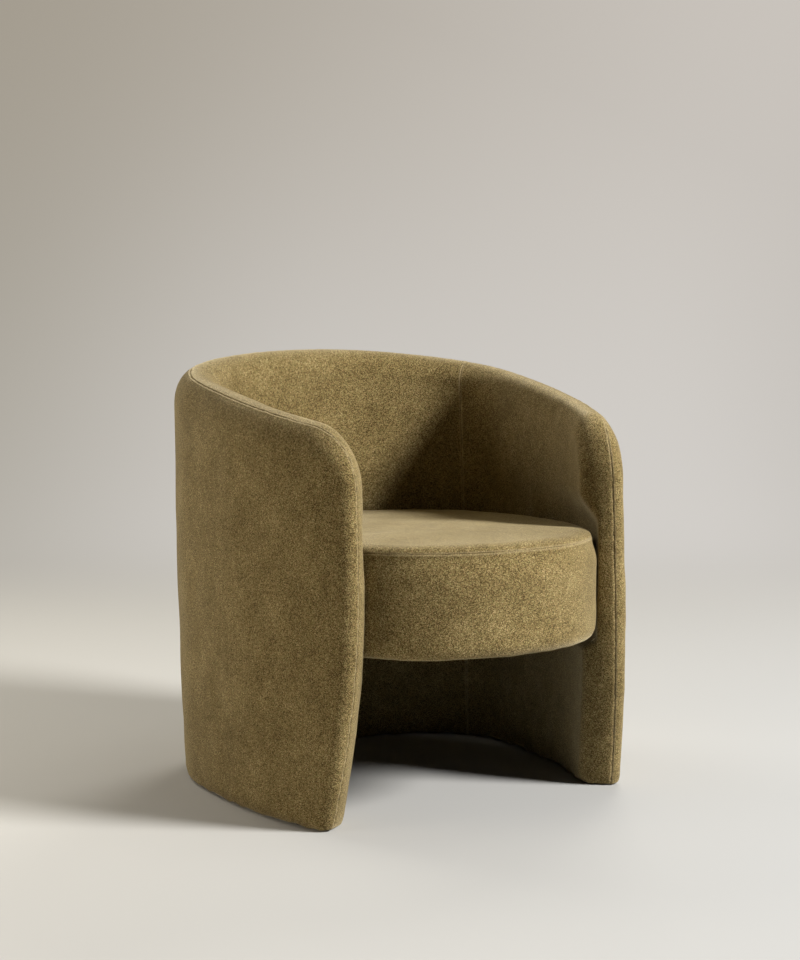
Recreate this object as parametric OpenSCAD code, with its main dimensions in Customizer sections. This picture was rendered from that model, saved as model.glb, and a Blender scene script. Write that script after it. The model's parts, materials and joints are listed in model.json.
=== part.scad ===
// Upholstered barrel armchair: a padded wall that stands on the floor and wraps round the sitter,
// open at the front, with a crowned drum seat bolted between its arms.
// Millimetres. The origin is on the floor under the middle of the chair. +Z is up and the sitter faces -Y.

/* [Shell plan] */
// Width over the arms
chair_w = 700; // [670:5:740]
// From the widest line of the shell back to its rear face
back_reach = 260; // [250:5:285]
// From the widest line forward to where the shell's oval would close
front_reach = 535; // [520:5:560]
// Squareness of the shell's oval, 2 is an ellipse
oval_power = 2.27; // [2.15:0.01:2.4]
// Angle from the rear round to the front edge of each arm
tip_angle = 147; // [144:0.5:149]
// How far the foot of each arm sweeps back from its front edge, in degrees
floor_sweep = 7.4; // [5:0.1:9]
// Height below which the front edges sweep back
sweep_h = 400; // [360:10:440]
// Backward lean of the shell, in mm for each mm of height
lean = 0.046; // [0.02:0.002:0.06]

/* [Shell heights] */
// Height of the rim at the back
back_h = 730; // [700:5:780]
// Height of the rim beside the elbows
elbow_h = 687; // [670:1:700]
// Height of the rim at the front of the arms
arm_h = 619; // [600:1:640]
// Radius of the arms' top front corners
corner_r = 90; // [75:5:100]

/* [Shell padding] */
// Thickness of the padded wall at the back
wall_back = 80; // [76:1:95]
// Thickness of the padded wall at the arms
wall_arm = 72; // [68:1:76]
// From the outer face in to the crest of the rim
crest_in = 38; // [34:1:42]
// Height over which the outer face rolls over to the crest
roll_h = 60; // [50:1:66]
// Height over which the inner face rolls down from the crest
roll_in_h = 42; // [30:1:48]
// From the outer face in to the foremost line of an arm's front edge
front_in = 19; // [15:1:22]
// Length over which the outer face rounds to the front edge
front_roll = 22; // [18:1:26]
// Length over which the inner face rounds to the front edge
front_roll_in = 38; // [34:1:50]
// How far the outer face tucks in at the floor
tuck_floor = 4.5; // [3:0.5:5]
// How far the outer face tucks in at the rim
tuck_rim = 4; // [2:0.5:4.5]
// Height where the outer face bulges most
bulge_h = 330; // [300:10:360]
// Rounding of the covers' bottom edges
hem_round = 7; // [4:0.5:7.5]
// Thickness of the upholstery fabric with its soft backing
fabric_t = 3; // [2.5:0.1:3.5]
// Angle of the two upright inner seams from the rear
seam_angle = 66; // [60:1:72]

/* [Shell frame] */
// From the outer face in to the frame's outer skin
frame_in = 16; // [15.5:0.1:17]
// Thickness of the bent inner and outer skins
skin_t = 3; // [2.5:0.5:3.5]
// Width of the plywood ribs between the skins
rib_w = 18; // [16:1:19]
// Thickness of the base ring
base_t = 18; // [15:1:21]
// Height of the seat-level ring
seat_ring_h = 44; // [42:1:50]
// Height of the top rail
top_rail_h = 30; // [24:1:36]
// Length of the foam in front of each arm's frame
front_pad = 80; // [74:1:84]
// Length of each arm's front post, measured along the wall
front_post_l = 44; // [36:1:50]
// Width of each upright post, as a share of the gap between two ribs' stations
post_share = 0.5; // [0.35:0.05:0.6]
// Clearance between the foam and the frame
foam_gap = 0.5; // [0.4:0.1:1]

/* [Seat] */
// Clearance between the seat and the arms where the shell is widest
seat_side_gap = 6; // [4:1:10]
// From the shell's widest line forward to the front of the seat
seat_front = 475; // [460:5:485]
// Squareness of the seat's oval, 2 is an ellipse
seat_power = 2.28; // [2.1:0.02:2.4]
// Clearance between the seat and the back cover
seat_back_gap = 1.5; // [1:0.5:3]
// Clearance between the seat and the arms that it presses into
press_gap = 3; // [2.5:0.5:4]
// Height of the seat's lower edge at its centre
seat_bottom_h = 264; // [255:1:275]
// Height of the seat's top seam at its centre
seat_seam_h = 428; // [420:1:440]
// How far the seat's top rolls up from the seam
seat_roll_h = 11; // [8:1:14]
// Crown of the seat above its rolled edge
seat_crown = 7; // [4:1:14]
// How far the seat's lower edge is rounded in
seat_hem_in = 13; // [8:1:16]
// Height of the rounding at the seat's lower edge
seat_hem_h = 16; // [12:1:22]
// How far the seat's side draws in at its top seam
seat_seam_in = 4; // [2:0.5:6]
// Backward slope of the seat, in degrees
seat_tilt = 1.2; // [0:0.1:2]
// Thickness of the foam wrap round the seat's hoop
wrap_t = 8; // [6:1:10]
// Thickness of the seat's bent hoop
hoop_t = 12; // [9:1:15]
// Height of the seat's bent hoop
hoop_h = 84; // [78:1:92]
// Thickness of the seat's soft top layer
topper_t = 24; // [18:1:30]
// Width of each webbing strap
strap_w = 50; // [40:1:56]
// Thickness of the webbing
strap_t = 1.4; // [1:0.1:2]
// Distance between the straps' centre lines
strap_pitch = 84; // [80:1:90]
// Width of each cross rail under the webbing
rail_w = 22; // [18:1:26]
// Height of each cross rail
rail_h = 56; // [45:1:60]
// From the seat's centre to each cross rail
rail_off = 110; // [90:5:130]

/* [Fasteners and feet] */
// Height of the seat bolts above the seat's lower edge
bolt_up = 42; // [40:1:46]
// Radius of the seat bolts
bolt_r = 4; // [3:0.5:4]
// Radius of the round spacers between seat and shell
spacer_r = 17; // [14:1:18]
// Radius of the threaded inserts
insert_r = 6.5; // [6:0.5:7]
// Length of the threaded inserts
insert_l = 13; // [10:1:14]
// From the shell's widest line forward to the two rows of side bolts
side_bolt_at = [60, 200];
// From the middle to each of the two rear bolts
rear_bolt_at = 90; // [70:5:110]
// Clearance round the bolts
bolt_gap = 0.3; // [0.2:0.1:0.5]
// Height of the glides
glide_h = 5; // [4:0.5:7]
// Radius of the glides
glide_r = 11; // [9:0.5:12]
// Radius of the wood screws
screw_r = 2; // [1.5:0.25:2.5]
// Thickness of the black dust covers
dust_t = 1; // [0.6:0.1:1.2]
// Length of a staple's crown
staple_l = 10; // [8:1:12]
// Thickness of a staple's wire
staple_t = 0.6; // [0.4:0.1:0.8]

/* [Hidden] */
round_fn = 24;
far = 900;
cut = 1;

half_w = chair_w / 2;
floor_z = glide_h + dust_t;
lean_h = sweep_h;

// Numbers from 0 to 1 and signs
function share(t) = min(max(t, 0), 1);
function mix(a, b, t) = a + (b - a) * t;
function side_of(v) = v < 0 ? -1 : 1;

// The oval that the shell follows: |x/a|^p + |y/b|^p = 1, with its own b behind and ahead of the widest line
function oval_b(th) = cos(th) > 0 ? back_reach : front_reach;
function oval_radius(th) =
    pow(pow(abs(sin(th)) / half_w, oval_power) + pow(abs(cos(th)) / oval_b(th), oval_power), -1 / oval_power);
function oval_point(th) = oval_radius(th) * [sin(th), cos(th)];
function oval_slope(v, reach) = side_of(v) * pow(abs(v) / reach, oval_power - 1) / reach;
function oval_normal(th) =
    let (p = oval_point(th), g = [oval_slope(p.x, half_w), oval_slope(p.y, oval_b(th))]) g / norm(g);

// How far the outer face lies inside the oval at a height
function tuck(z) = z < bulge_h
    ? tuck_floor * pow((bulge_h - z) / bulge_h, 2)
    : tuck_rim * pow((z - bulge_h) / (back_h - bulge_h), 2);
function lean_y(z) = lean * (z - lean_h);

// The seat fills the length from its front edge back to the inner back, and the origin is put midway
rear_h = back_h - roll_h;
rear_reach = back_reach - tuck(rear_h) + lean_y(rear_h);
wide_y = (seat_front - rear_reach) / 2;
seat_rear = back_reach - wall_back - tuck(seat_bottom_h) + lean_y(seat_bottom_h) - seat_back_gap;
seat_half_d = (seat_rear + seat_front) / 2;
seat_half_w = half_w - wall_arm - seat_side_gap;
seat_y = wide_y + seat_rear - seat_half_d;
seat_top_h = seat_seam_h + seat_roll_h + seat_crown;

// A point of the wall: its angle from the rear, its height and its distance in from the oval
function wall_at(th, z, inset) =
    let (p = oval_point(th) - oval_normal(th) * inset) [p.x, p.y + wide_y + lean_y(z), z];
function wall_point(th, z, inset) = wall_at(th, z, inset + tuck(z));

// Plan angle of the arms' front edge at a height, and the length of wall for each degree there
function end_angle(z) = tip_angle - floor_sweep * pow(share((sweep_h - z) / sweep_h), 2);
run_rate = norm(oval_point(tip_angle) - oval_point(tip_angle - 1));
frame_angle = tip_angle - front_pad / run_rate;
post_angle = frame_angle - front_post_l / run_rate;

// Height of the rim: even in the angle, through its heights at the back, the elbows and the front
elbow_u = 0.6;
elbow_drop = elbow_h - back_h;
front_drop = arm_h - back_h;
rim_c = (elbow_drop - front_drop * pow(elbow_u, 2)) / (pow(elbow_u, 4) - pow(elbow_u, 2));
rim_b = front_drop - rim_c;
function rim_z(u) = back_h + rim_b * pow(u, 2) + rim_c * pow(u, 4);

// Upright columns of the padding, from the left front edge round to the right one. Each is
// [side, kind, share]: kind 0 lies in the front foam and kind 1 behind it.
front_shares = [0, 0.06, 0.22, 0.5];
arm_steps = 5;
back_steps = 6;
seam_share = seam_angle / frame_angle;
post_share_at = post_angle / frame_angle;
arm_shares = concat([1], [for (i = [0:arm_steps - 1]) mix(post_share_at, seam_share, i / arm_steps)]);
wall_shares = concat(arm_shares, [for (i = [0:back_steps - 1]) mix(seam_share, 0, i / back_steps)]);
half_columns = concat([for (f = front_shares) [0, f]], [for (g = wall_shares) [1, g]]);
half_n = len(half_columns);
COLUMNS = concat(
    [for (c = half_columns) [-1, c[0], c[1]]],
    [[1, 1, 0]],
    [for (i = [half_n - 1:-1:0]) [1, half_columns[i][0], half_columns[i][1]]]
);
last_col = len(COLUMNS) - 1;
front_cols = len(front_shares);
seam_col = front_cols + len(arm_shares);
mid_col = last_col / 2;

// Share of the wall's half length at which a column stands at a height, for a layer that lies
// depth inside the cover's face, and its distance from the front edge
function col_u(c, z, depth) =
    let (uf = frame_angle / end_angle(z), front = (1 - uf) * end_angle(z) * run_rate)
    c[1] == 1 ? c[2] * uf : 1 - (depth + c[2] * (front - depth)) / (end_angle(z) * run_rate);
function col_s(u, z) = (1 - u) * end_angle(z) * run_rate;

// Distance from the wall's edge and which edge it is: 0 at the front edges, 1 along the rim
function edge_of(u, z) =
    let (s = col_s(u, z), centre_z = rim_z(u) - corner_r)
    s >= corner_r ? [rim_z(u) - z, 1]
    : z <= centre_z ? [s, 0]
    : let (ds = corner_r - s, dz = z - centre_z, r = norm([ds, dz])) [corner_r - r, pow(dz / r, 2)];
function top_z(u) =
    let (s = col_s(u, sweep_h))
    rim_z(u) - (s < corner_r ? corner_r - sqrt(corner_r * corner_r - pow(corner_r - s, 2)) : 0);
function shoulder_z(u) = top_z(u) - roll_h;

// The two faces of the padding: each rolls over on a quarter ellipse to the crest line
function wall_t(u) = mix(wall_arm, wall_back, pow(cos(90 * share(abs(u) * 1.1)), 2));
seam_gap = 0.3;
function rolled(t) = 1 - sqrt(max(0, 1 - t * t));
function crest_at(edge) = mix(front_in, crest_in, edge);
function outer_inset(u, z, depth) =
    let (e = edge_of(u, z), c = crest_at(e[1]) - seam_gap, l = mix(front_roll, roll_h, e[1]) - depth)
    depth + (c - depth) * rolled(share(1 - (e[0] - depth) / l));
function inner_inset(u, z, depth) =
    let (e = edge_of(u, z), c = crest_at(e[1]) + seam_gap, l = mix(front_roll_in, roll_in_h, e[1]) - depth, w = wall_t(u))
    w - depth - (w - depth - c) * rolled(share(1 - (e[0] - depth) / l));

// The seat's oval, and how it presses the arms' padding back beside it
function seat_radius(a, grow) =
    pow(pow(abs(sin(a)) / (seat_half_w + grow), seat_power)
        + pow(abs(cos(a)) / (seat_half_d + grow), seat_power), -1 / seat_power);
function seat_level(p, grow) =
    pow(pow(abs(p.x) / (seat_half_w + grow), seat_power)
        + pow(abs(p.y - seat_y) / (seat_half_d + grow), seat_power), 1 / seat_power);
function pressed(th, z, inset, grow, tries) =
    let (p = wall_point(th, z, inset), q = seat_level(p, grow))
    tries == 0 || q >= 1 ? inset
    : pressed(th, z, inset - (1 - q) * norm([p.x, p.y - seat_y]), grow, tries - 1);
press_tries = 5;

// Heights of the points up a column, outside and inside
roll_turns = [24, 48, 70, 90];
outer_shares = [0.28, 0.5, 0.75];
function roll_rows(u, depth) =
    [for (a = roll_turns) mix(shoulder_z(u), top_z(u) - depth, sin(a))];
function outer_rows(u, depth, from_z) =
    concat([from_z, from_z + 2 * hem_round], [for (f = outer_shares) mix(from_z, shoulder_z(u), f)],
        [shoulder_z(u)], roll_rows(u, depth));
press_below = 24;
press_rows = [seat_bottom_h - press_below, seat_bottom_h - cut, mix(seat_bottom_h, seat_seam_h, 0.5), seat_seam_h + seat_roll_h];
function inner_rows(u, depth, from_z) =
    concat([from_z, from_z + 2 * hem_round, mix(from_z, seat_bottom_h, 0.5)], press_rows, [shoulder_z(u)], roll_rows(u, depth));
outer_n = len(outer_rows(0, 0, floor_z));
inner_n = len(inner_rows(0, 0, floor_z));
roll_n = len(roll_turns);
first_press = 4;
last_press = 6;

// The covers' bottom edges turn under a little, less where the wall runs out at the front
function hem(gap) = min(hem_round, gap / 2);
function outer_pt(c, j, depth) =
    let (u0 = col_u(c, sweep_h, depth), z = outer_rows(u0, depth, floor_z)[j], u = col_u(c, z, depth),
        i = outer_inset(u, z, depth), under = j == 0 ? hem(crest_at(0) - i) : 0)
    wall_point(c[0] * u * end_angle(z), z, i + under);
function inner_pt(c, j, depth) =
    let (u0 = col_u(c, sweep_h, depth), z = inner_rows(u0, depth, floor_z)[j], u = col_u(c, z, depth),
        i = inner_inset(u, z, depth), under = j == 0 ? hem(i - crest_at(0)) : 0, th = c[0] * u * end_angle(z))
    wall_point(th, z, (j >= first_press && j <= last_press
        ? pressed(th, z, i, press_gap + depth, press_tries) : i) - under);

// A closed solid through a row of closed sections with the same number of points. The quads' diagonals
// change over at point number turn, so that both faces of a sheet are split alike, and at section number
// mid, so that left and right match. The ends are filled by strips between the section's points.
module loft(sections, turn = 0, mid = 0) {
    n = len(sections[0]);
    m = len(sections);
    sides = [for (i = [0:m - 2], j = [0:n - 1])
        let (a = i * n + j, b = i * n + (j + 1) % n, c = b + n, d = a + n)
        each ((j < turn) == (i < mid) ? [[a, b, c], [a, c, d]] : [[a, b, d], [b, c, d]])];
    strips = [for (j = [0:ceil(n / 2) - 2])
        let (a = j, b = j + 1, c = n - 2 - j, d = n - 1 - j) each (b == c ? [[a, b, d]] : [[a, b, c], [a, c, d]])];
    lids = concat([for (t = strips) [t[2], t[1], t[0]]], [for (t = strips) t + (m - 1) * n * [1, 1, 1]]);
    polyhedron(points = [for (s = sections) each s], faces = concat(sides, lids), convexity = 10);
}

// A sheet of cover between the face and the same face one fabric thickness in
module outer_sheet(c0, c1) {
    loft([for (k = [c1:-1:c0]) concat(
        [for (j = [outer_n - 1:-1:0]) outer_pt(COLUMNS[k], j, fabric_t)],
        [for (j = [0:outer_n - 1]) outer_pt(COLUMNS[k], j, 0)])], outer_n, c1 - mid_col);
}
module inner_sheet(c0, c1) {
    loft([for (k = [c1:-1:c0]) concat(
        [for (j = [inner_n - 1:-1:0]) inner_pt(COLUMNS[k], j, 0)],
        [for (j = [0:inner_n - 1]) inner_pt(COLUMNS[k], j, fabric_t)])], inner_n, c1 - mid_col);
}

// Frame pieces are straight up and down apart from the lean, so their faces meet exactly
frame_out = frame_in;
rib_out = frame_out + skin_t;
rib_in = rib_out + rib_w;
frame_in_face = rib_in + skin_t;
wall_n = len(wall_shares);
STATIONS = concat([for (g = wall_shares) -g], [0], [for (i = [wall_n - 1:-1:0]) wall_shares[i]]);
last_station = len(STATIONS) - 1;
function rail_z(g) = shoulder_z(abs(g) * frame_angle / tip_angle) - foam_gap;
function frame_pt(g, z, inset) = wall_at(g * frame_angle, z, inset);
module frame_band(k0, k1, in0, in1, z0, z1) {
    loft([for (k = [k1:-1:k0]) let (g = STATIONS[k]) [
        frame_pt(g, z0, in0), frame_pt(g, z1 < 0 ? rail_z(g) : z1, in0),
        frame_pt(g, z1 < 0 ? rail_z(g) : z1, in1), frame_pt(g, z0, in1)]]);
}
to_rail = -1;

// Points between two neighbouring stations, on the straight line that joins them
function between_pt(k, t, z, inset) =
    mix(frame_pt(STATIONS[k], z, inset), frame_pt(STATIONS[k + 1], z, inset), t);
module post(k, z0, z1) {
    t0 = 0.5 - post_share / 2;
    t1 = 0.5 + post_share / 2;
    loft([for (t = [t1, t0])
        let (z = z1 < 0 ? mix(rail_z(STATIONS[k]), rail_z(STATIONS[k + 1]), t) - top_rail_h : z1) [
        between_pt(k, t, z0, rib_out), between_pt(k, t, z, rib_out),
        between_pt(k, t, z, rib_in), between_pt(k, t, z0, rib_in)]]);
}
post_at = [3, 5, 9, last_station - 10, last_station - 6, last_station - 4];
base_top = floor_z + base_t;
bolt_h = seat_bottom_h + bolt_up;
seat_ring_z0 = bolt_h - seat_ring_h / 2;
seat_ring_z1 = bolt_h + seat_ring_h / 2;

// The bolts: [start, turn about Z, distance out to the frame's inner face, distance out to the hoop]
function oval_x(y) = half_w * pow(1 - pow(abs(y) / front_reach, oval_power), 1 / oval_power);
function oval_y(x) = back_reach * pow(1 - pow(abs(x) / half_w, oval_power), 1 / oval_power);
function slant(th) = max(abs(oval_normal(th).x), abs(oval_normal(th).y));
function hoop_x(y) = (seat_half_w) * pow(1 - pow(abs(y) / seat_half_d, seat_power), 1 / seat_power) - wrap_t - fabric_t;
function hoop_y(x) = (seat_half_d) * pow(1 - pow(abs(x) / seat_half_w, seat_power), 1 / seat_power) - wrap_t - fabric_t;
side_bolts = [for (side = [-1, 1], y = side_bolt_at)
    let (wall = oval_x(y), th = atan2(wall, -y))
    [[0, wide_y - y, bolt_h], side * 90, wall - frame_in_face / slant(th), hoop_x(wide_y - y - seat_y)]];
rear_bolts = [for (side = [-1, 1])
    let (wall = oval_y(rear_bolt_at), th = atan2(rear_bolt_at, wall))
    [[side * rear_bolt_at, wide_y, bolt_h], 180,
        wall + lean_y(bolt_h) - frame_in_face / slant(th), hoop_y(rear_bolt_at) + seat_y - wide_y]];
BOLTS = concat(side_bolts, rear_bolts);
head_r = 7;
head_h = 5;
washer_r = 11;
washer_t = 1.5;
recess_left = 8;
fit_gap = 0.3;

// Children are drawn along +Z, which is turned to point out along each bolt
module at_bolts() {
    for (b = BOLTS) translate(b[0]) rotate([0, 0, b[1]]) rotate([90, 0, 0]) children();
}
module bolt_rod(b, r, d0, d1) {
    translate(b[0]) rotate([0, 0, b[1]]) rotate([90, 0, 0]) translate([0, 0, d0]) cylinder(r = r, h = d1 - d0, $fn = round_fn);
}
module bolt_holes(r) {
    for (b = BOLTS) bolt_rod(b, r, b[3] - hoop_t - wrap_t, b[2] + skin_t + cut);
}
module spacer_holes() {
    for (b = BOLTS) bolt_rod(b, spacer_r + fit_gap, b[3] - cut, b[2] + skin_t + cut);
}
module insert_holes() {
    for (b = BOLTS) bolt_rod(b, insert_r, b[2], b[2] + skin_t + insert_l + cut);
}

// The glides stand under the base ring
glide_shares = [0.95, 0.62, 0.36, 0];
GLIDES = [for (side = [-1, 1], g = glide_shares) if (g > 0 || side > 0)
    wall_at(side * g * frame_angle, 0, (rib_out + rib_in) / 2)];
glide_screw_l = 16;
module at_glides() { for (p = GLIDES) translate([p.x, p.y, 0]) children(); }
module screw(l, head) {
    cylinder(r = screw_r, h = l, $fn = round_fn);
    cylinder(r1 = head, r2 = screw_r, h = head - screw_r, $fn = round_fn);
}
screw_head_r = 4;
post_screw_l = 50;
post_screw_z = floor_z + 2;
function post_mid(k) = between_pt(k, 0.5, post_screw_z, (rib_out + rib_in) / 2);
POST_SCREWS = concat([for (k = post_at) post_mid(k)], [post_mid(0), post_mid(last_station - 1)]);
module at_post_screws() { for (p = POST_SCREWS) translate(p) children(); }
module post_screw_holes() {
    at_post_screws() cylinder(r = screw_r, h = post_screw_l, $fn = round_fn);
    at_post_screws() translate([0, 0, -post_screw_z]) cylinder(r = screw_head_r, h = post_screw_z + screw_head_r - screw_r, $fn = round_fn);
}

// Shell pieces
module outer_cover() color("darkkhaki") outer_sheet(0, last_col);
module inner_back_cover() color("khaki") difference() {
    inner_sheet(seam_col, last_col - seam_col);
    spacer_holes();
}
module inner_arm_cover() {
    difference() {
        inner_sheet(0, seam_col);
        spacer_holes();
    }
}
module inner_arm_cover_left() color("palegoldenrod") inner_arm_cover();
module inner_arm_cover_right() color("palegoldenrod") mirror([1, 0, 0]) inner_arm_cover();

// Foam between the covers and the frame. Its inner side keeps foam_gap from the skins.
module outer_foam() color("wheat") loft([for (k = [last_col - front_cols:-1:front_cols]) let (c = COLUMNS[k]) concat(
    [for (j = [outer_n - 1 - roll_n:-1:0]) let (p = outer_pt(c, j, fabric_t), u = col_u(c, p.z, fabric_t))
        wall_at(c[0] * u * end_angle(p.z), p.z, frame_out - foam_gap)],
    [for (j = [0:outer_n - 1 - roll_n]) outer_pt(c, j, fabric_t)])], outer_n - roll_n, mid_col - front_cols);
module inner_foam(c0, c1) {
    difference() {
        loft([for (k = [c1:-1:c0]) let (c = COLUMNS[k]) concat(
            [for (j = [0:inner_n - 1 - roll_n]) let (p = inner_pt(c, j, fabric_t), u = col_u(c, p.z, fabric_t))
                wall_at(c[0] * u * end_angle(p.z), p.z, frame_in_face + foam_gap)],
            [for (j = [inner_n - 1 - roll_n:-1:0]) inner_pt(c, j, fabric_t)])], far, c1 - mid_col);
        spacer_holes();
    }
}
module inner_back_foam() color("burlywood") inner_foam(seam_col, last_col - seam_col);
module inner_arm_foam_left() color("navajowhite") inner_foam(front_cols, seam_col);
module inner_arm_foam_right() color("navajowhite") mirror([1, 0, 0]) inner_foam(front_cols, seam_col);
module rim_roll_foam() color("moccasin") loft([for (k = [last_col - front_cols:-1:front_cols]) let (c = COLUMNS[k]) concat(
    [for (j = [inner_n - 2:-1:inner_n - 1 - roll_n]) inner_pt(c, j, fabric_t)],
    [for (j = [outer_n - 1 - roll_n:outer_n - 1]) outer_pt(c, j, fabric_t)])], roll_n, mid_col - front_cols);
module front_foam(c0, c1) {
    loft([for (k = [c1:-1:c0]) let (c = COLUMNS[k]) concat(
        [for (j = [inner_n - 2:-1:0]) inner_pt(c, j, fabric_t)],
        [for (j = [0:outer_n - 1]) outer_pt(c, j, fabric_t)])], inner_n - 1, c1 - mid_col);
}
module arm_front_foam_left() color("bisque") front_foam(1, front_cols);
module arm_front_foam_right() color("bisque") front_foam(last_col - front_cols, last_col - 1);

// Frame of the shell
module outer_skin() color("peru") frame_band(0, last_station, frame_out, rib_out, floor_z, to_rail);
module inner_skin() color("tan") difference() {
    frame_band(0, last_station, rib_in, frame_in_face, floor_z, to_rail);
    bolt_holes(bolt_r + bolt_gap);
}
module base_ring() color("sandybrown") difference() {
    frame_band(0, last_station, rib_out, rib_in, floor_z, base_top);
    post_screw_holes();
    at_glides() cylinder(r = screw_r, h = glide_screw_l, $fn = round_fn);
}
module seat_level_ring() color("sandybrown") difference() {
    frame_band(1, last_station - 1, rib_out, rib_in, seat_ring_z0, seat_ring_z1);
    insert_holes();
}
module top_rail() color("chocolate") loft([for (k = [last_station - 1:-1:1]) let (g = STATIONS[k]) [
    frame_pt(g, rail_z(g) - top_rail_h, rib_out), frame_pt(g, rail_z(g), rib_out),
    frame_pt(g, rail_z(g), rib_in), frame_pt(g, rail_z(g) - top_rail_h, rib_in)]]);
module lower_posts() color("goldenrod") difference() {
    for (k = post_at) post(k, base_top, seat_ring_z0);
    post_screw_holes();
}
module upper_posts() color("goldenrod") for (k = post_at) post(k, seat_ring_z1, to_rail);
module arm_front_posts() color("darkgoldenrod") difference() {
    for (k = [0, last_station - 1]) frame_band(k, k + 1, rib_out, rib_in, base_top, to_rail);
    post_screw_holes();
}

// Underside of the shell
dust_in = 3;
module base_dust_cover() color("dimgray") difference() {
    loft([for (k = [last_col - 2:-1:2]) let (c = COLUMNS[k], u = col_u(c, floor_z, 0), th = c[0] * u * end_angle(floor_z),
        i0 = outer_inset(u, floor_z, 0) + hem_round + dust_in, i1 = inner_inset(u, floor_z, 0) - hem_round - dust_in) [
        wall_point(th, glide_h, i0), wall_point(th, floor_z, i0), wall_point(th, floor_z, i1), wall_point(th, glide_h, i1)]]);
    at_glides() cylinder(r = screw_r, h = far, $fn = round_fn);
}
base_staple_n = 20;
staple_in = frame_in + staple_l;
module staple(l) translate([-l / 2, -staple_t / 2, 0]) cube([l, staple_t, staple_t]);
module base_staples() color("silver") for (side = [-1, 1], i = [0:base_staple_n - 1])
    let (th = side * mix(2, frame_angle - 3, i / (base_staple_n - 1)), p = wall_at(th, glide_h, staple_in))
    translate([p.x, p.y, glide_h - staple_t]) rotate([0, 0, atan2(oval_normal(th).y, oval_normal(th).x) - 90]) staple(staple_l);
module glides() color("black") difference() {
    at_glides() union() {
        cylinder(r = glide_r, h = glide_h - 2, $fn = round_fn);
        cylinder(r1 = glide_r, r2 = glide_r - 2, h = glide_h, $fn = round_fn);
    }
    at_glides() cylinder(r = screw_r, h = far, $fn = round_fn);
    at_glides() cylinder(r1 = screw_head_r + 1, r2 = screw_r, h = screw_head_r + 1 - screw_r, $fn = round_fn);
}
module glide_screws() color("gray") at_glides() translate([0, 0, 1]) screw(glide_screw_l - 1, screw_head_r);
module post_screws() color("gray") at_post_screws() screw(post_screw_l, screw_head_r);

// The seat's own outline, a distance in from its side
seat_sides = 40;
function seat_plan(inset) = [for (i = [0:seat_sides - 1])
    let (a = i * 360 / seat_sides, r = seat_radius(a, 0),
        g = [side_of(sin(a)) * pow(abs(sin(a)) * r / seat_half_w, seat_power - 1) / seat_half_w,
            side_of(cos(a)) * pow(abs(cos(a)) * r / seat_half_d, seat_power - 1) / seat_half_d])
    r * [sin(a), cos(a)] - inset * g / norm(g)];
function seat_ring(inset, z) = [for (p = seat_plan(inset)) [p.x, p.y, z]];
module seat_place() {
    translate([0, seat_y, seat_bottom_h]) rotate([-seat_tilt, 0, 0]) children();
}
module seat_slab(inset, z0, z1) {
    translate([0, 0, z0]) linear_extrude(height = z1 - z0) polygon(seat_plan(inset));
}
// Heights inside the seat, counted from its lower edge
hoop_z = fabric_t;
strap_z = hoop_z + hoop_h;
core_z = strap_z + 2 * strap_t;
seam_z = seat_seam_h - seat_bottom_h;
core_top = seam_z - topper_t / 2;
crown_z = seam_z + seat_roll_h + seat_crown;

// Side of the seat as [inset, height] pairs, from the lower edge up to the seam
hem_flap = 12;
band_rows = [[seat_hem_in + hem_flap, 0], [seat_hem_in, 0], [seat_hem_in * 0.3, seat_hem_h * 0.35], [0, seat_hem_h],
    [0, seam_z * 0.55], [seat_seam_in * 0.4, seam_z * 0.78], [seat_seam_in * 0.75, core_top], [seat_seam_in, seam_z]];
function band_in(r) = [r[0] + (r[1] > seat_hem_h * 0.3 ? fabric_t : fabric_t / 2), max(r[1], fabric_t)];
// Top of the seat as [inset, height] pairs, from the seam in to the middle
roll_steps = [[0, 0], [0.14, 0.5], [0.55, 0.86], [1.45, 1]];
crown_steps = [[0.22, 0.4], [0.48, 0.82], [0.74, 1]];
top_rows = concat([for (r = roll_steps) [seat_seam_in + r[0] * seat_roll_h, seam_z + r[1] * seat_roll_h]],
    [for (r = crown_steps) [r[0] * seat_half_w, seam_z + seat_roll_h + r[1] * seat_crown]]);
function top_in(r) = [r[0] + (r[0] < seat_seam_in + seat_roll_h ? fabric_t : 0), r[1] - (r[0] > seat_seam_in ? fabric_t : 0)];

module rings(rows) loft([for (r = rows) seat_ring(r[0], r[1])]);
module seat_top_cover() color("khaki") seat_place() difference() {
    rings(top_rows);
    rings(concat([[seat_seam_in + fabric_t, seam_z - cut]], [for (r = top_rows) top_in(r)]));
}
module seat_side_band() color("darkkhaki") difference() {
    seat_place() difference() {
        rings(band_rows);
        rings(concat([[band_rows[0][0], -cut]], [for (i = [0:len(band_rows) - 1]) band_in(band_rows[i])], [[seat_seam_in + fabric_t, seam_z + cut]]));
    }
    spacer_holes();
}
module seat_foam_topper() color("wheat") seat_place() rings(concat([[seat_seam_in + fabric_t, core_top]], [for (r = top_rows) top_in(r)]));
module seat_foam_core() color("burlywood") seat_place() seat_slab(wrap_t + fabric_t, core_z, core_top);
module seat_side_wrap() color("ivory") difference() {
    seat_place() difference() {
        rings([for (i = [2:len(band_rows) - 2]) band_in(band_rows[i])]);
        seat_slab(wrap_t + fabric_t, -far, far);
    }
    spacer_holes();
}
module seat_hoop() color("peru") difference() {
    seat_place() difference() {
        seat_slab(wrap_t + fabric_t, hoop_z, strap_z);
        seat_slab(wrap_t + fabric_t + hoop_t, -far, far);
    }
    bolt_holes(bolt_r + bolt_gap);
    for (b = BOLTS) bolt_rod(b, washer_r + fit_gap, b[3] - 2 * hoop_t, b[3] - recess_left);
}
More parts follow.
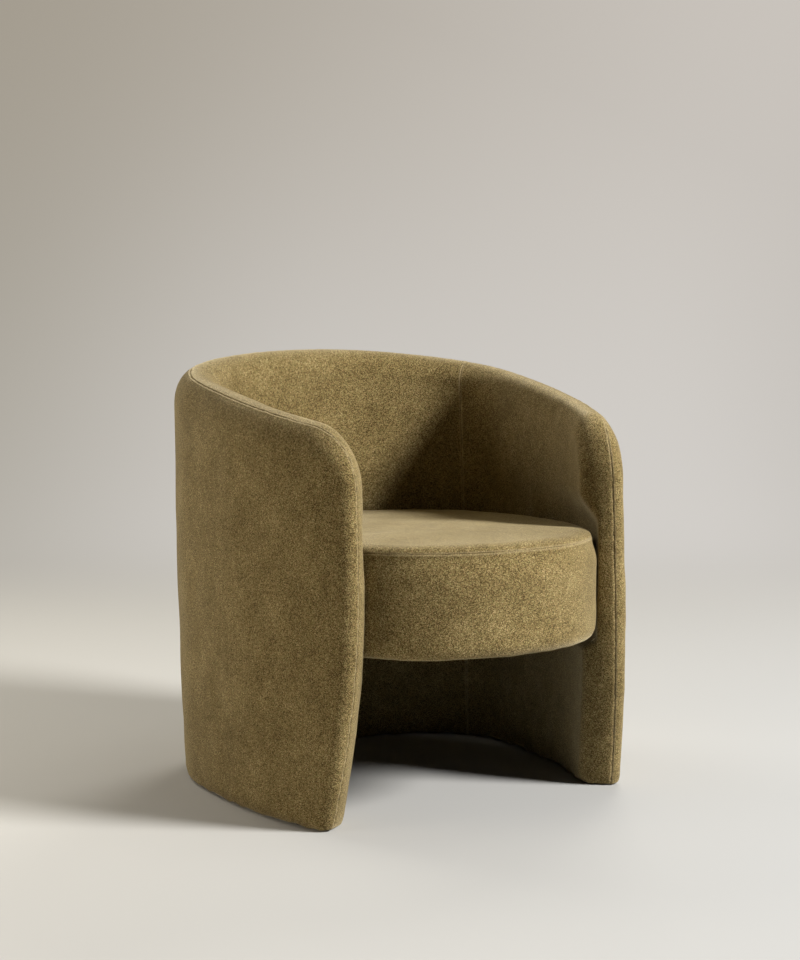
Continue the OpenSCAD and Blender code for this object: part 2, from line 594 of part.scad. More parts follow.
module seat_cross_rails() color("tan") seat_place() intersection() {
    seat_slab(wrap_t + fabric_t + hoop_t, hoop_z, hoop_z + rail_h);
    for (side = [-1, 1]) translate([-far / 2, side * rail_off - rail_w / 2, 0]) cube([far, rail_w, far]);
}
strap_n = 2;
strap_in = wrap_t + fabric_t + 2;
module webbing_lengthwise() color("black") seat_place() intersection() {
    seat_slab(strap_in, strap_z, strap_z + strap_t);
    for (i = [-strap_n:strap_n]) translate([i * strap_pitch - strap_w / 2, -far / 2, 0]) cube([strap_w, far, far]);
}
module webbing_crosswise() color("black") seat_place() intersection() {
    seat_slab(strap_in, strap_z + strap_t, core_z);
    for (i = [-strap_n:strap_n]) translate([-far / 2, i * strap_pitch - strap_w / 2, 0]) cube([far, strap_w, far]);
}
seat_dust_in = 20;
module seat_dust_cover() color("dimgray") seat_place() seat_slab(seat_dust_in, -dust_t, 0);
seat_staple_n = 28;
module seat_staples() color("silver") seat_place() for (i = [0:seat_staple_n - 1])
    let (a = i * 360 / seat_staple_n, r = seat_radius(a, 0) - seat_dust_in - 3)
    translate([r * sin(a), r * cos(a), -dust_t - staple_t]) rotate([0, 0, -a]) staple(staple_l);

// What carries the seat: spacers, bolts and inserts
module seat_spacers() color("sienna") difference() {
    for (b = BOLTS) bolt_rod(b, spacer_r, b[3] - cut, b[2] + skin_t);
    seat_place() seat_slab(wrap_t + fabric_t, -far, far);
    frame_band(0, last_station, frame_out, frame_in_face, floor_z, seat_seam_h);
    bolt_holes(bolt_r + bolt_gap);
}
module seat_bolts() color("silver") for (b = BOLTS) {
    bolt_rod(b, bolt_r, b[3] - recess_left - washer_t, b[2] + skin_t + insert_l - cut);
    bolt_rod(b, head_r, b[3] - recess_left - washer_t - head_h, b[3] - recess_left - washer_t);
}
module bolt_washers() color("silver") for (b = BOLTS) difference() {
    bolt_rod(b, washer_r, b[3] - recess_left - washer_t, b[3] - recess_left);
    bolt_rod(b, bolt_r + bolt_gap, b[3] - 2 * hoop_t, b[3]);
}
module threaded_inserts() color("gray") for (b = BOLTS) difference() {
    bolt_rod(b, insert_r, b[2] + 2 * skin_t, b[2] + skin_t + insert_l);
    bolt_rod(b, bolt_r + bolt_gap / 3, b[2], b[2] + far);
}

outer_cover();
inner_back_cover();
inner_arm_cover_left();
inner_arm_cover_right();
outer_foam();
inner_back_foam();
inner_arm_foam_left();
inner_arm_foam_right();
rim_roll_foam();
arm_front_foam_left();
arm_front_foam_right();
outer_skin();
inner_skin();
base_ring();
seat_level_ring();
top_rail();
lower_posts();
upper_posts();
arm_front_posts();
base_dust_cover();
base_staples();
glides();
glide_screws();
post_screws();
seat_top_cover();
seat_side_band();
seat_foam_topper();
seat_foam_core();
seat_side_wrap();
seat_hoop();
seat_cross_rails();
webbing_lengthwise();
webbing_crosswise();
seat_dust_cover();
seat_staples();
seat_spacers();
seat_bolts();
bolt_washers();
threaded_inserts();
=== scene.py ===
"""An upholstered barrel armchair: its covers, seat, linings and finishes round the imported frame.

Shapes are worked out in millimetres, with X to the right, Y to the rear and Z up from the floor, as
one looks at the chair from the front. made() turns them into metres.
"""
import json

import bpy
import numpy as np
from mathutils import Euler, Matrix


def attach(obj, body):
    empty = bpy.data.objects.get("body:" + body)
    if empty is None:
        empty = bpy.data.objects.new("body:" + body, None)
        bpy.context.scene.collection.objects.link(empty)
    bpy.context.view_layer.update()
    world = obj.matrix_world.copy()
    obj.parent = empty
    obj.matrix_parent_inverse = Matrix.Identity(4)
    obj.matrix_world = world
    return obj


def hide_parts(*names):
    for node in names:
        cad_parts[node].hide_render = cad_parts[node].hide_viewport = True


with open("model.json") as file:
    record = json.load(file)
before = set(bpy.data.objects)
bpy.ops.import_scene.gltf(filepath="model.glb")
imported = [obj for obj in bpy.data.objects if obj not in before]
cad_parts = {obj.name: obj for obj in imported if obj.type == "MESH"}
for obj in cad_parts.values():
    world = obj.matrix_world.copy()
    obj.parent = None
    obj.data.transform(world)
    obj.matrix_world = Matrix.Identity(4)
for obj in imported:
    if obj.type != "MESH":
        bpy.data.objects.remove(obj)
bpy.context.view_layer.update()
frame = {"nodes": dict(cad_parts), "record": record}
MM = 0.001

# ---------------------------------------------------------------- camera
CAMERA_PLACE = (-1.544, -2.654, 0.813)
CAMERA_DOWN, CAMERA_TURN = 5.567, -30.115       # degrees below level, and round from the Y axis

cam_data = bpy.data.cameras.new("camera")
cam_data.lens = 67.5
cam_data.sensor_width = 36.0
cam_data.clip_end = 60.0
camera = bpy.data.objects.new("camera", cam_data)
camera.location = CAMERA_PLACE
camera.rotation_euler = Euler(np.radians([90 - CAMERA_DOWN, 0.0, CAMERA_TURN]))
bpy.context.scene.collection.objects.link(camera)
bpy.context.scene.camera = camera

# ---------------------------------------------------------------- sizes of the wall
# the plan's oval: half width, reach to the rear and to the front, and power
HALF_W, BACK_REACH, FRONT_REACH, POWER = 350.0, 260.0, 535.0, 2.27
# the arms' front edges: angle from the rear, sweep back at the floor, and height where it starts
TIP, SWEEP, SWEEP_H = np.radians(147.0), np.radians(7.4), 400.0
# lean to the rear for every unit of height, tuck at the floor and at the rim, height of the bulge
LEAN, TUCK_FLOOR, TUCK_RIM, BULGE_H = 0.046, 4.5, 4.0, 330.0
# heights of the rim at the back, the elbow and the front, and radius of its front corner
BACK_H, ELBOW_H, ARM_H, CORNER_R = 730.0, 687.0, 619.0, 90.0
ELBOW_AT = 0.6                      # the elbow's share of the way from the back to the front edge
# thickness at the back and in the arms, which is reached at 1 / ARM_RATE of that way
WALL_BACK, WALL_ARM, ARM_RATE = 80.0, 72.0, 1.1
# the rim's roll: place of its crest in from the outer face, height outside and height inside
CREST_IN, ROLL_H, ROLL_IN_H = 38.0, 60.0, 42.0
# the front edges' roll: the same three, measured along the wall
FRONT_IN, FRONT_ROLL, FRONT_ROLL_IN = 19.0, 22.0, 38.0
ROLL_FROM = 1.05                    # a cover's rows start to close up this many roll heights down
# the rim's seam: place in from the outer face at the back and in the arms, and where that changes
SEAM_IN_BACK, SEAM_IN_ARM = 30.0, 23.6
SEAM_TURN = np.radians(60), np.radians(95)
SEAM_ANGLE = np.radians(66.0)       # the two upright inner seams
# the hem, turned under the wall's foot: how far in, over what height, and how low
HEM_IN, HEM_H, HEM_Z = 8.0, 19.0, 2.2
# the hem's share at the front edges, where two covers meet, and how far along it is whole again
HEM_FRONT, HEM_WHOLE = 0.3, 40
# the flap behind the hem: heights, and distances in from the faces
FLAP_Z, FLAP_IN = HEM_Z + np.array([0.6, 1.5, 2.0]), HEM_IN + np.array([1.0, 4.0, 8.0])
MID_R = 330                         # middling radius of the plan, to turn lengths into angles
FOLLOW = 230                        # how far from the front edge columns still follow its sweep
# the inner foam: place in behind the cover, place of the frame's face, and height of its foot
FOAM_IN, FRAME_IN, FOAM_FOOT = 4.2, 40.6, 26.0
FOAM_FRONT = 9                      # it starts this far behind the front edge's roll

# ---------------------------------------------------------------- sizes of the seat
# reach to the front, gap to the back padding, the oval's power, and tilt back
SEAT_FRONT, SEAT_GAP, SEAT_POWER, SEAT_TILT = 475.0, 1.5, 2.28, np.radians(1.2)
SEAT_SIDE = 6.0                     # gap between the seat and the arms' full thickness
# heights of the seat's underside and seam, of the roll over the seam and the crown over the roll
SEAT_BOTTOM, SEAT_SEAM, SEAT_ROLL, SEAT_CROWN = 264.0, 428.0, 12.5, 5.5
# how far the side draws in to the seam, over what height, and how far in the top's roll goes on
SEAT_DRAW, SEAT_DRAW_H, SEAT_ROLL_IN = 7.0, 42, 26.0
# the lower edge's quarter ellipse, how far in and how high, and the side's belly above it
EDGE_IN, EDGE_H, BELLY = 16, 22, 1.4
HANG, HANG_H = 0.8, 12              # the lower edge hangs by at most twice this, up to this height
UNDER_ROWS = [(26.0, 0.6), (20.0, 0.3), (17.0, 0.2)]    # the side cloth's rows turned underneath
# top and place in of the firm core, and place in of the soft layers' outside
CORE_TOP, CORE_IN, SOFT_IN = 152.0, 9.5, 1.9
# the padding is pushed back this far off the seat: wholly between the inner two heights, and not
# at all past the outer two
PRESS_GAP, PRESS_LOW, PRESS_HIGH = 3.0, (236, 262), (440, 505)

SPACER_R, SPACER_Z = 17.4, 306.0    # round spacers between the wall and the seat
# middle of each spacer, and the axis that it lies along
SPACERS = [(np.array([side * 276.0, y, SPACER_Z]), 0) for side in (-1, 1) for y in (-97.26, 42.74)]
SPACERS += [(np.array([side * 90.0, 282.0, SPACER_Z]), 1) for side in (-1, 1)]
SPACER_REACH = 60                   # half the length over which a spacer cuts what it meets

# ---------------------------------------------------------------- sizes of the cloths
CLOTH_T = 1.5
# lining under the wall: height, places in from the faces and from the front edges, thickness
LINING_Z, LINING_IN, LINING_FRONT, LINING_T = 5.5, 8.0, 1.5, 0.8
LINING_SEAT_IN = 20.0               # lining under the seat: place in from the seat's side
WALL_GROOVE, SEAT_GROOVE = (1.1, 1.0), (0.9, 1.1)       # depth and width of a seam's groove
WALL_LIP, INSIDE_LIP, SEAT_LIP = 0.40, 0.3, 0.7         # rise of the cloth beside the groove
LIP_AT, LIP_W = 2.6, 1.5            # its distance and width, in widths of the groove
# the padding's swelling: height, and shares and lengths of its long and short waves
SWELL, LONG, LONG_WAVE, SHORT, SHORT_WAVE = 1.1, 0.75, 190, 0.3, 70
CALM = 16                           # reach of a seam's hold on the swelling
LOOSE_Z, SEAT_LOOSE_Z = 30, 24      # it is full from here up, over the floor and the underside
PUCKER, PUCKER_WAVE, PUCKER_REACH = 0.25, 17, 9         # height, length and reach of the puckers
LINE_AT, LINE_W = 1.9, 1.1          # where the cloth turns into a seam, and over what width
# folds at the wall's foot: sideways, upwards, length, and height over which they die out
FOLD, FOLD_UP, FOLD_WAVE, FOLD_H = 0.8, 1.1, 44, 18
CLEAR = 0.4                         # least height of a fold over the floor
STEP, LINING_STEP, SEAM_STEP = 5.5, 12.0, 2.5   # between columns, and between a seam's points
ARC_N, ROLL_N, HEM_N = 34, 22, 8    # columns in the front corner, rows in the roll and in the hem
# other rows: outside, over the crest, down the inner roll, inside, and in the inner foam
OUTSIDE_N, OVER_N, ROLL_IN_N, INSIDE_N, FOAM_N = 100, 13, 20, 112, 60
OVER_POWER = 1.4                    # closes up the rows over the crest towards the seam
# the seat's: points of a ring, rows of the lower edge, the side, the top's roll and the crown
RING_N, EDGE_N, SIDE_N, TOP_N, CROWN_N = 260, 12, 38, 18, 56
BESIDE = np.array([0.0, 0.7, 1.6, 2.7, 4.2, 6.4])       # distances of the lines next to a seam
BESIDE_ANGLE = BESIDE / MID_R

rear_h = BACK_H - ROLL_H
rear_reach = (BACK_REACH - TUCK_RIM * ((rear_h - BULGE_H) / (BACK_H - BULGE_H)) ** 2
              + LEAN * (rear_h - SWEEP_H))
WIDE_Y = (SEAT_FRONT - rear_reach) / 2          # the widest place of the wall's plan
seat_rear = (BACK_REACH - WALL_BACK - TUCK_FLOOR * ((BULGE_H - SEAT_BOTTOM) / BULGE_H) ** 2
             + LEAN * (SEAT_BOTTOM - SWEEP_H) - SEAT_GAP)
SEAT_HALF_W = HALF_W - WALL_ARM - SEAT_SIDE
SEAT_HALF_D = (seat_rear + SEAT_FRONT) / 2
SEAT_Y = WIDE_Y + seat_rear - SEAT_HALF_D
SEAM_Z = SEAT_SEAM - SEAT_BOTTOM                # the seat's seam over its underside


# ---------------------------------------------------------------- numpy helpers
def mix(a, b, t):
    return a + (b - a) * t


def smooth(lo, hi, v):
    """0 below lo, 1 above hi, and 3t^2 - 2t^3 between."""
    t = np.clip((v - lo) / (hi - lo), 0, 1)
    return t * t * (3 - 2 * t)


def bell(d, width, at=0.0):
    """1 at the distance at, and close to 0 two widths away from it."""
    return np.exp(-((d - at) / width) ** 2)


def quarter(n):
    """Angles from 0 to a right angle."""
    return np.linspace(0, np.pi / 2, n)


def soft_field(p, seed, size, waves=22):
    """Sum of sine waves in random directions, lengths round size, about one unit high."""
    rng = np.random.default_rng(seed)
    k = rng.normal(size=(waves, 3))
    share = rng.uniform(0.65, 1.5, (waves, 1))
    k *= (2 * np.pi / size) * share / np.linalg.norm(k, axis=1, keepdims=True)
    return np.sin(p @ k.T + rng.uniform(0, 2 * np.pi, waves)).sum(-1) * np.sqrt(2 / waves)


def grid_normals(p, wrap=False):
    """Unit normals of a grid of points, from central differences along its columns and rows."""
    if wrap:
        du = np.roll(p, -1, 1) - np.roll(p, 1, 1)
    else:
        du = np.gradient(p, axis=1)
    dv = np.gradient(p, axis=0)
    n = np.cross(dv, du)
    length = np.linalg.norm(n, axis=-1, keepdims=True)
    n = n / np.maximum(length, 1e-9)
    beside = np.concatenate([n[:, 1:2], n[:, :-1]], 1)
    return np.where(length < 1e-7, beside, n)


def level_normals(p):
    """Level unit normals of rows of points that run clockwise, seen from above: they point away
    from the chair's middle, so out of the wall on its outside and into it on its inside."""
    du = np.gradient(p, axis=1)
    n = np.stack([-du[..., 1], du[..., 0], 0 * du[..., 0]], -1)
    return n / np.maximum(np.linalg.norm(n, axis=-1, keepdims=True), 1e-9)


def distance_to(p, curve):
    """Least distance from every point of a grid to a line of points, taken some points at once."""
    flat = p.reshape(-1, 3)
    best = np.full(len(flat), 1e9)
    for part in np.array_split(curve, max(1, len(curve) // 24)):
        d = np.linalg.norm(flat[:, None, :] - part[None], axis=-1).min(1)
        best = np.minimum(best, d)
    return best.reshape(p.shape[:-1])


def resample(curve):
    """Points every SEAM_STEP along a line, by straight interpolation over its length."""
    run = np.concatenate([[0], np.cumsum(np.linalg.norm(np.diff(curve, axis=0), axis=1))])
    at = np.linspace(0, run[-1], max(2, int(run[-1] / SEAM_STEP)))
    return np.stack([np.interp(at, run, curve[:, i]) for i in range(3)], -1)


def quads_of(index):
    """The quads between neighbouring rows and columns of a grid of point numbers."""
    corners = [index[:-1, :-1], index[1:, :-1], index[1:, 1:], index[:-1, 1:]]
    return np.stack(corners, -1).reshape(-1, 4)


def made(name, points, faces, smoothed, line=None):
    """A mesh object from points in millimetres and faces. A line is a number at every point that
    the fabric reads."""
    mesh = bpy.data.meshes.new(name)
    mesh.from_pydata((points * MM).tolist(), [], faces)
    mesh.polygons.foreach_set("use_smooth", smoothed)
    if line is not None:
        mesh.attributes.new("seam_line", "FLOAT", "POINT").data.foreach_set("value", line)
    mesh.update()
    piece = bpy.data.objects.new(name, mesh)
    bpy.context.scene.collection.objects.link(piece)
    return piece


def layer(name, front, back, wrap=False, keep=None, line=None):
    """A closed shell between two grids of the same size: the front's quads, the back's turned
    round, and a strip of quads between every edge of one and the other that belongs to a single
    kept face. Where the front's last row is one point, triangles end there instead."""
    rows, cols = front.shape[:2]
    pole = np.ptp(front[-1], axis=0).max() < 1e-6
    index = np.arange(rows * cols).reshape(rows, cols)
    if wrap:
        index = np.concatenate([index, index[:, :1]], 1)
    body = index[:-1] if pole else index
    quads = quads_of(body)
    if keep is not None:
        quads = quads[keep[quads].any(1)]
    kinds = [quads]
    if pole:
        kinds.append(np.stack([body[-1, :-1], 0 * body[-1, :-1] + index[-1, 0], body[-1, 1:]], -1))
    edges = np.concatenate([np.stack([f, np.roll(f, -1, 1)], -1).reshape(-1, 2) for f in kinds])
    offset = rows * cols
    code = edges[:, 0].astype(np.int64) * offset + edges[:, 1]
    back_code = edges[:, 1].astype(np.int64) * offset + edges[:, 0]
    rim = edges[~np.isin(code, back_code)]
    kinds += [f[:, ::-1] + offset for f in kinds]
    kinds.append(np.stack([rim[:, 1], rim[:, 0], rim[:, 0] + offset, rim[:, 1] + offset], -1))
    used = np.unique(np.concatenate([f.ravel() for f in kinds]))
    renamed = np.zeros(2 * offset, np.int64)
    renamed[used] = np.arange(len(used))
    faces = sum((renamed[f].tolist() for f in kinds), [])
    points = np.concatenate([front.reshape(-1, 3), back.reshape(-1, 3)])[used]
    if line is not None:
        line = np.tile(line.ravel(), 2)[used]
    return made(name, points, faces, np.arange(len(faces)) < len(faces) - len(rim), line)


# ---------------------------------------------------------------- the wall's shape
def tuck(z):
    """How far the outer face lies inside the oval: squares of the height from the bulge."""
    low = TUCK_FLOOR * (np.maximum(BULGE_H - z, 0) / BULGE_H) ** 2
    return low + TUCK_RIM * (np.maximum(z - BULGE_H, 0) / (BACK_H - BULGE_H)) ** 2


def oval(th, half_w, reach, power):
    """Points of the oval |x/a|^p + |y/b|^p = 1 at angles from the Y axis, and its unit normals."""
    s, c = np.sin(th), np.cos(th)
    r = ((np.abs(s) / half_w) ** power + (np.abs(c) / reach) ** power) ** (-1 / power)
    gx = np.sign(s) * (np.abs(r * s) / half_w) ** (power - 1) / half_w
    gy = np.sign(c) * (np.abs(r * c) / reach) ** (power - 1) / reach
    g = np.hypot(gx, gy)
    return r * s, r * c, gx / g, gy / g


def wall_point(th, z, inset):
    """The plan's oval at an angle from the rear, moved in along its normal, leaning with height."""
    x, y, nx, ny = oval(th, HALF_W, np.where(np.cos(th) > 0, BACK_REACH, FRONT_REACH), POWER)
    inward = inset + tuck(z)
    x = x - nx * inward
    y = y - ny * inward + WIDE_Y + LEAN * (z - SWEEP_H)
    return np.stack(np.broadcast_arrays(x, y, z), -1)


def end_angle(z):
    """Angle of the arms' front edges, swept back below SWEEP_H by a square."""
    return TIP - SWEEP * np.clip((SWEEP_H - z) / SWEEP_H, 0, 1) ** 2


def rim_z(u):
    """Height of the rim: even fourth-degree curve through the back, the elbow and the front."""
    sag = ELBOW_AT ** 2
    c = ((ELBOW_H - BACK_H) - (ARM_H - BACK_H) * sag) / (ELBOW_AT ** 4 - sag)
    return BACK_H + (ARM_H - BACK_H - c) * u ** 2 + c * u ** 4


# length along the wall for one radian, at the front edges
near = wall_point(np.array([TIP - np.radians(1), TIP]), np.full(2, SWEEP_H), -tuck(SWEEP_H))
RATE = np.linalg.norm(near[1] - near[0]) / np.radians(1)


def edge_of(th, z):
    """Distance to the wall's free edge and which edge it is, 0 at the fronts and 1 along the rim;
    the top front corner is a quarter circle."""
    end = end_angle(z)
    s = (end - np.abs(th)) * RATE
    rim = rim_z(np.abs(th) / end)
    up = z - (rim - CORNER_R)
    back = CORNER_R - s
    r = np.hypot(back, up)
    corner = (back > 0) & (up > 0)
    e = np.where(corner, CORNER_R - r, np.where(back > 0, s, rim - z))
    which = np.where(corner, (up / np.maximum(r, 1e-6)) ** 2, np.where(back > 0, 0.0, 1.0))
    return e, which


def wall_t(th, z):
    """Thickness of the padding: the arms' thickness plus a cosine square towards the back."""
    u = np.clip(np.abs(th) / end_angle(z) * ARM_RATE, 0, 1)
    return mix(WALL_ARM, WALL_BACK, np.cos(u * np.pi / 2) ** 2)


def rolled(t):
    """Quarter ellipse."""
    return 1 - np.sqrt(np.maximum(0, 1 - t * t))


def outer_face(th, z):
    e, which = edge_of(th, z)
    t = np.clip(1 - e / mix(FRONT_ROLL, ROLL_H, which), 0, 1)
    return wall_point(th, z, mix(FRONT_IN, CREST_IN, which) * rolled(t))


def seat_level(p, grow):
    """1 on the seat's outline, less inside it."""
    return ((np.abs(p[..., 0]) / (SEAT_HALF_W + grow)) ** SEAT_POWER
            + (np.abs(p[..., 1] - SEAT_Y) / (SEAT_HALF_D + grow)) ** SEAT_POWER) ** (1 / SEAT_POWER)


def inner_face(th, z):
    """The inner face, pushed back beside the seat, in six passes, until it clears its outline."""
    e, which = edge_of(th, z)
    t = np.clip(1 - e / mix(FRONT_ROLL_IN, ROLL_IN_H, which), 0, 1)
    w = wall_t(th, z)
    inset = w - (w - mix(FRONT_IN, CREST_IN, which)) * rolled(t)
    beside = smooth(*PRESS_LOW, z) * (1 - smooth(*PRESS_HIGH, z))
    free = inset
    for _ in range(6):
        p = wall_point(th, z, inset)
        q = seat_level(p, PRESS_GAP)
        inset = inset - np.maximum(1 - q, 0) * np.hypot(p[..., 0], p[..., 1] - SEAT_Y)
    return wall_point(th, z, mix(free, inset, beside))


# ---------------------------------------------------------------- grids of the wall's covers
def seam_drop(which, th):
    """How far below the crest the rim's seam lies, from its place in from the outer face."""
    seam_in = mix(SEAM_IN_BACK, SEAM_IN_ARM, smooth(*SEAM_TURN, np.abs(th)))
    q = mix(1.0, seam_in / CREST_IN, which)
    return mix(FRONT_ROLL, ROLL_H, which) * (1 - np.sqrt(1 - (1 - q) ** 2))


def half_columns(stop, step, sewn_end=False):
    """Columns of one half, from the front edge to the angle stop: distance from the edge, angle
    at rest, and the seam's and the crest's heights. The first ones follow the corner's quarter
    circle, and the last ones stand close together beside a seam."""
    a = quarter(ARC_N)
    rho = CORNER_R - seam_drop(np.sin(a) ** 2, TIP)
    s = CORNER_R - rho * np.cos(a)
    seam_up = rho * np.sin(a) - CORNER_R
    crest_up = np.sqrt(np.maximum(CORNER_R ** 2 - (CORNER_R - s) ** 2, 0)) - CORNER_R
    rest = TIP - s / RATE
    close = stop + BESIDE_ANGLE[::-1] if sewn_end else np.array([stop])
    far = np.linspace(rest[-1], close[0], max(3, int((rest[-1] - stop) * MID_R / step)))[1:-1]
    far = np.concatenate([far, close])
    th = np.concatenate([rest, far])
    s = np.concatenate([s, (TIP - far) * RATE])
    seam_up = np.concatenate([seam_up, -seam_drop(1.0, far)])
    crest_up = np.concatenate([crest_up, np.zeros(len(far))])
    rim = rim_z(th / TIP)
    return s, th, rim + seam_up, rim + crest_up


def at_height(s, th, z):
    """Angle of a column at a height: front columns follow the swept edge, far ones stand still."""
    follow = smooth(0, 1, 1 - s / FOLLOW)
    return th + (end_angle(z) - TIP) * follow


def hem_rows(a):
    """Heights of the hem's rows and their places in, at angles that are 0 at its lowest row."""
    return HEM_Z + HEM_H * (1 - np.cos(a)), HEM_IN * (1 - np.sin(a))


def hem_shift(hem_in, s):
    """How far each row of the hem and flap lies in: the hem less so at the front edges."""
    hem = np.minimum(hem_in, HEM_IN)[:, None]
    share = mix(HEM_FRONT, 1.0, smooth(0, HEM_WHOLE, s))
    return hem * share + np.maximum(hem_in - HEM_IN, 0)[:, None]


def outer_cover_points():
    """The outside of the wall: flap, hem, upright rows, then rows up the roll to the seam."""
    s, th, seam_z, _ = half_columns(0.0, STEP)
    sign = np.concatenate([-np.ones(len(th)), np.ones(len(th) - 1)])
    s, th, seam_z = (np.concatenate([half, half[-2::-1]]) for half in (s, th, seam_z))
    foot = HEM_Z + HEM_H
    shoulder = seam_z - ROLL_H * ROLL_FROM
    low = foot + np.linspace(0, 1, OUTSIDE_N)[:, None] * (shoulder - foot)[None]
    turn = 1 - (1 - np.linspace(0, 1, ROLL_N)[1:]) ** 2
    high = shoulder[None] + turn[:, None] * (seam_z - shoulder)[None]
    hem_z, hem_in = hem_rows(quarter(HEM_N)[:-1])
    hem_z = np.concatenate([FLAP_Z[::-1], hem_z])
    hem_in = np.concatenate([FLAP_IN[::-1], hem_in])
    z = np.concatenate([np.repeat(hem_z[:, None], len(s), 1), low, high])
    p = outer_face(sign[None] * at_height(s[None], th[None], z), z)
    p[:len(hem_z)] -= level_normals(p[:len(hem_z)]) * hem_shift(hem_in, s)[..., None]
    return p


def inner_cover_points(s, th, sign, seam_z, crest_z):
    """The inside of the wall: from the rim's seam over the crest, down the inner roll, then
    upright rows, the hem and the flap."""
    turn = 1 - (1 - np.linspace(0, 1, OVER_N)[:-1, None] ** OVER_POWER) ** 2
    over = seam_z[None] + (crest_z - seam_z)[None] * turn
    shoulder = crest_z - ROLL_IN_H * ROLL_FROM
    down = shoulder[None] + np.cos(quarter(ROLL_IN_N))[:, None] * (crest_z - shoulder)[None]
    foot = HEM_Z + HEM_H
    low = shoulder[None] + np.linspace(0, 1, INSIDE_N)[1:, None] * (foot - shoulder)[None]
    hem_z, hem_in = hem_rows(np.linspace(np.pi / 2, 0, HEM_N)[1:])
    hem_z, hem_in = np.concatenate([hem_z, FLAP_Z]), np.concatenate([hem_in, FLAP_IN])
    inside = np.concatenate([down, low, np.repeat(hem_z[:, None], len(s), 1)])
    p_over = outer_face(sign[None] * at_height(s[None], th[None], over), over)
    p_in = inner_face(sign[None] * at_height(s[None], th[None], inside), inside)
    p = np.concatenate([p_over, p_in])
    p[-len(hem_z):] += level_normals(p[-len(hem_z):]) * hem_shift(hem_in, s)[..., None]
    return p


def rippled(p, flap, seed=51):
    """Small folds where the cloth is drawn under the wall, in waves that die out upwards. The
    flap's rows keep still."""
    wave = soft_field(p * [1, 1, 0], seed, FOLD_WAVE)
    fade = bell(p[..., 2], FOLD_H)
    fade[flap] = 0
    p = p + level_normals(p) * (FOLD * np.tanh(wave) * fade)[..., None]
    p[..., 2] = np.maximum(p[..., 2] + FOLD_UP * wave * fade ** 3, CLEAR)
    return p


def with_holes(p):
    """Pushes the points of a grid that lie inside a round spacer out to its edge, and tells which
    ones stayed."""
    keep = np.ones(p.shape[:2], bool)
    for spot, axis in SPACERS:
        across = np.delete(np.arange(3), axis)
        d = p[..., across] - spot[across]
        r = np.linalg.norm(d, axis=-1)
        inside = (r < SPACER_R) & (np.abs(p[..., axis] - spot[axis]) < SPACER_REACH)
        d = d / np.maximum(r, 1e-6)[..., None] * SPACER_R
        for i, k in enumerate(across):
            p[..., k] = np.where(inside, spot[k] + d[..., i], p[..., k])
        keep &= ~inside
    return p, keep.ravel()


def sewn(p, seams, groove, lip, seed, loose, wrap):
    """Draws a cover down beside its seams by a bell of the distance, lifts it a little next to
    that, puckers it there with short waves, and lets the padding swell and dip with long ones
    where the cloth is loose. The line is another bell of the distance, 1 where the cloth turns
    into the seam."""
    depth, width = groove
    n = grid_normals(p, wrap)
    swell = LONG * soft_field(p, seed, LONG_WAVE) + SHORT * soft_field(p, seed + 1, SHORT_WAVE)
    rise = np.tanh(swell) * SWELL * loose
    line = np.zeros(p.shape[:2])
    for curve in seams:
        d = distance_to(p, curve)
        rise = rise * (1 - bell(d, CALM))
        rise = rise - depth * bell(d, width) + lip * bell(d, LIP_W * width, LIP_AT * width)
        rise = rise + PUCKER * soft_field(p, seed + 2, PUCKER_WAVE) * bell(d, PUCKER_REACH)
        line = np.maximum(line, bell(d, LINE_W, LINE_AT))
    return p + n * rise[..., None], n, line


def cloth(name, p, seams, groove, lip, seed, wrap=False, keep=None, loose=None):
    """A cover: the sewn surface, and the same surface CLOTH_T behind it. Unless it is told where
    it is loose, it lies tight at the wall's foot."""
    loose = smooth(HEM_Z, LOOSE_Z, p[..., 2]) if loose is None else loose
    front, n, line = sewn(p, seams, groove, lip, seed, loose, wrap)
    return layer(name, front, front - n * CLOTH_T, wrap, keep, line)


def foam_layer(name, s, th, sign, crest_z):
    """Foam between the cover and the frame: the inner face moved back by FOAM_IN along its
    normal, and the frame's face at FRAME_IN, from FOAM_FOOT up to the rim roll."""
    top = crest_z - ROLL_IN_H
    z = FOAM_FOOT + np.linspace(0, 1, FOAM_N)[:, None] * (top - FOAM_FOOT)[None]
    at = sign[None] * at_height(s[None], th[None], z)
    front = inner_face(at, z)
    # rows run upwards here, so the columns are turned round too for normals out of the wall
    front = front - grid_normals(front[:, ::-1])[:, ::-1] * FOAM_IN
    front, keep = with_holes(front)
    back, _ = with_holes(wall_point(at, z, FRAME_IN - tuck(z)))
    return layer(name, front[::-1], back[::-1], keep=keep.reshape(z.shape)[::-1].ravel())


# ---------------------------------------------------------------- the wall's covers and foam
s_half, th_half, seam_half, crest_half = half_columns(SEAM_ANGLE, STEP, sewn_end=True)
left_side, right_side = -np.ones(len(s_half)), np.ones(len(s_half))
between = np.linspace(BESIDE_ANGLE[-1] - SEAM_ANGLE, SEAM_ANGLE - BESIDE_ANGLE[-1], 120)[1:-1]
th_back = np.concatenate([BESIDE_ANGLE - SEAM_ANGLE, between, (SEAM_ANGLE - BESIDE_ANGLE)[::-1]])
side_back = np.where(th_back < 0, -1.0, 1.0)
seam_back = seam_drop(1.0, th_back)
th_back = np.abs(th_back)
rim_back = rim_z(th_back / TIP)
s_back = (TIP - th_back) * RATE

outer_p = rippled(outer_cover_points(), slice(0, len(FLAP_Z)))
back_p = inner_cover_points(s_back, th_back, side_back, rim_back - seam_back, rim_back)
left_p = inner_cover_points(s_half, th_half, left_side, seam_half, crest_half)
right_p = inner_cover_points(s_half[::-1], th_half[::-1], right_side,
                             seam_half[::-1], crest_half[::-1])

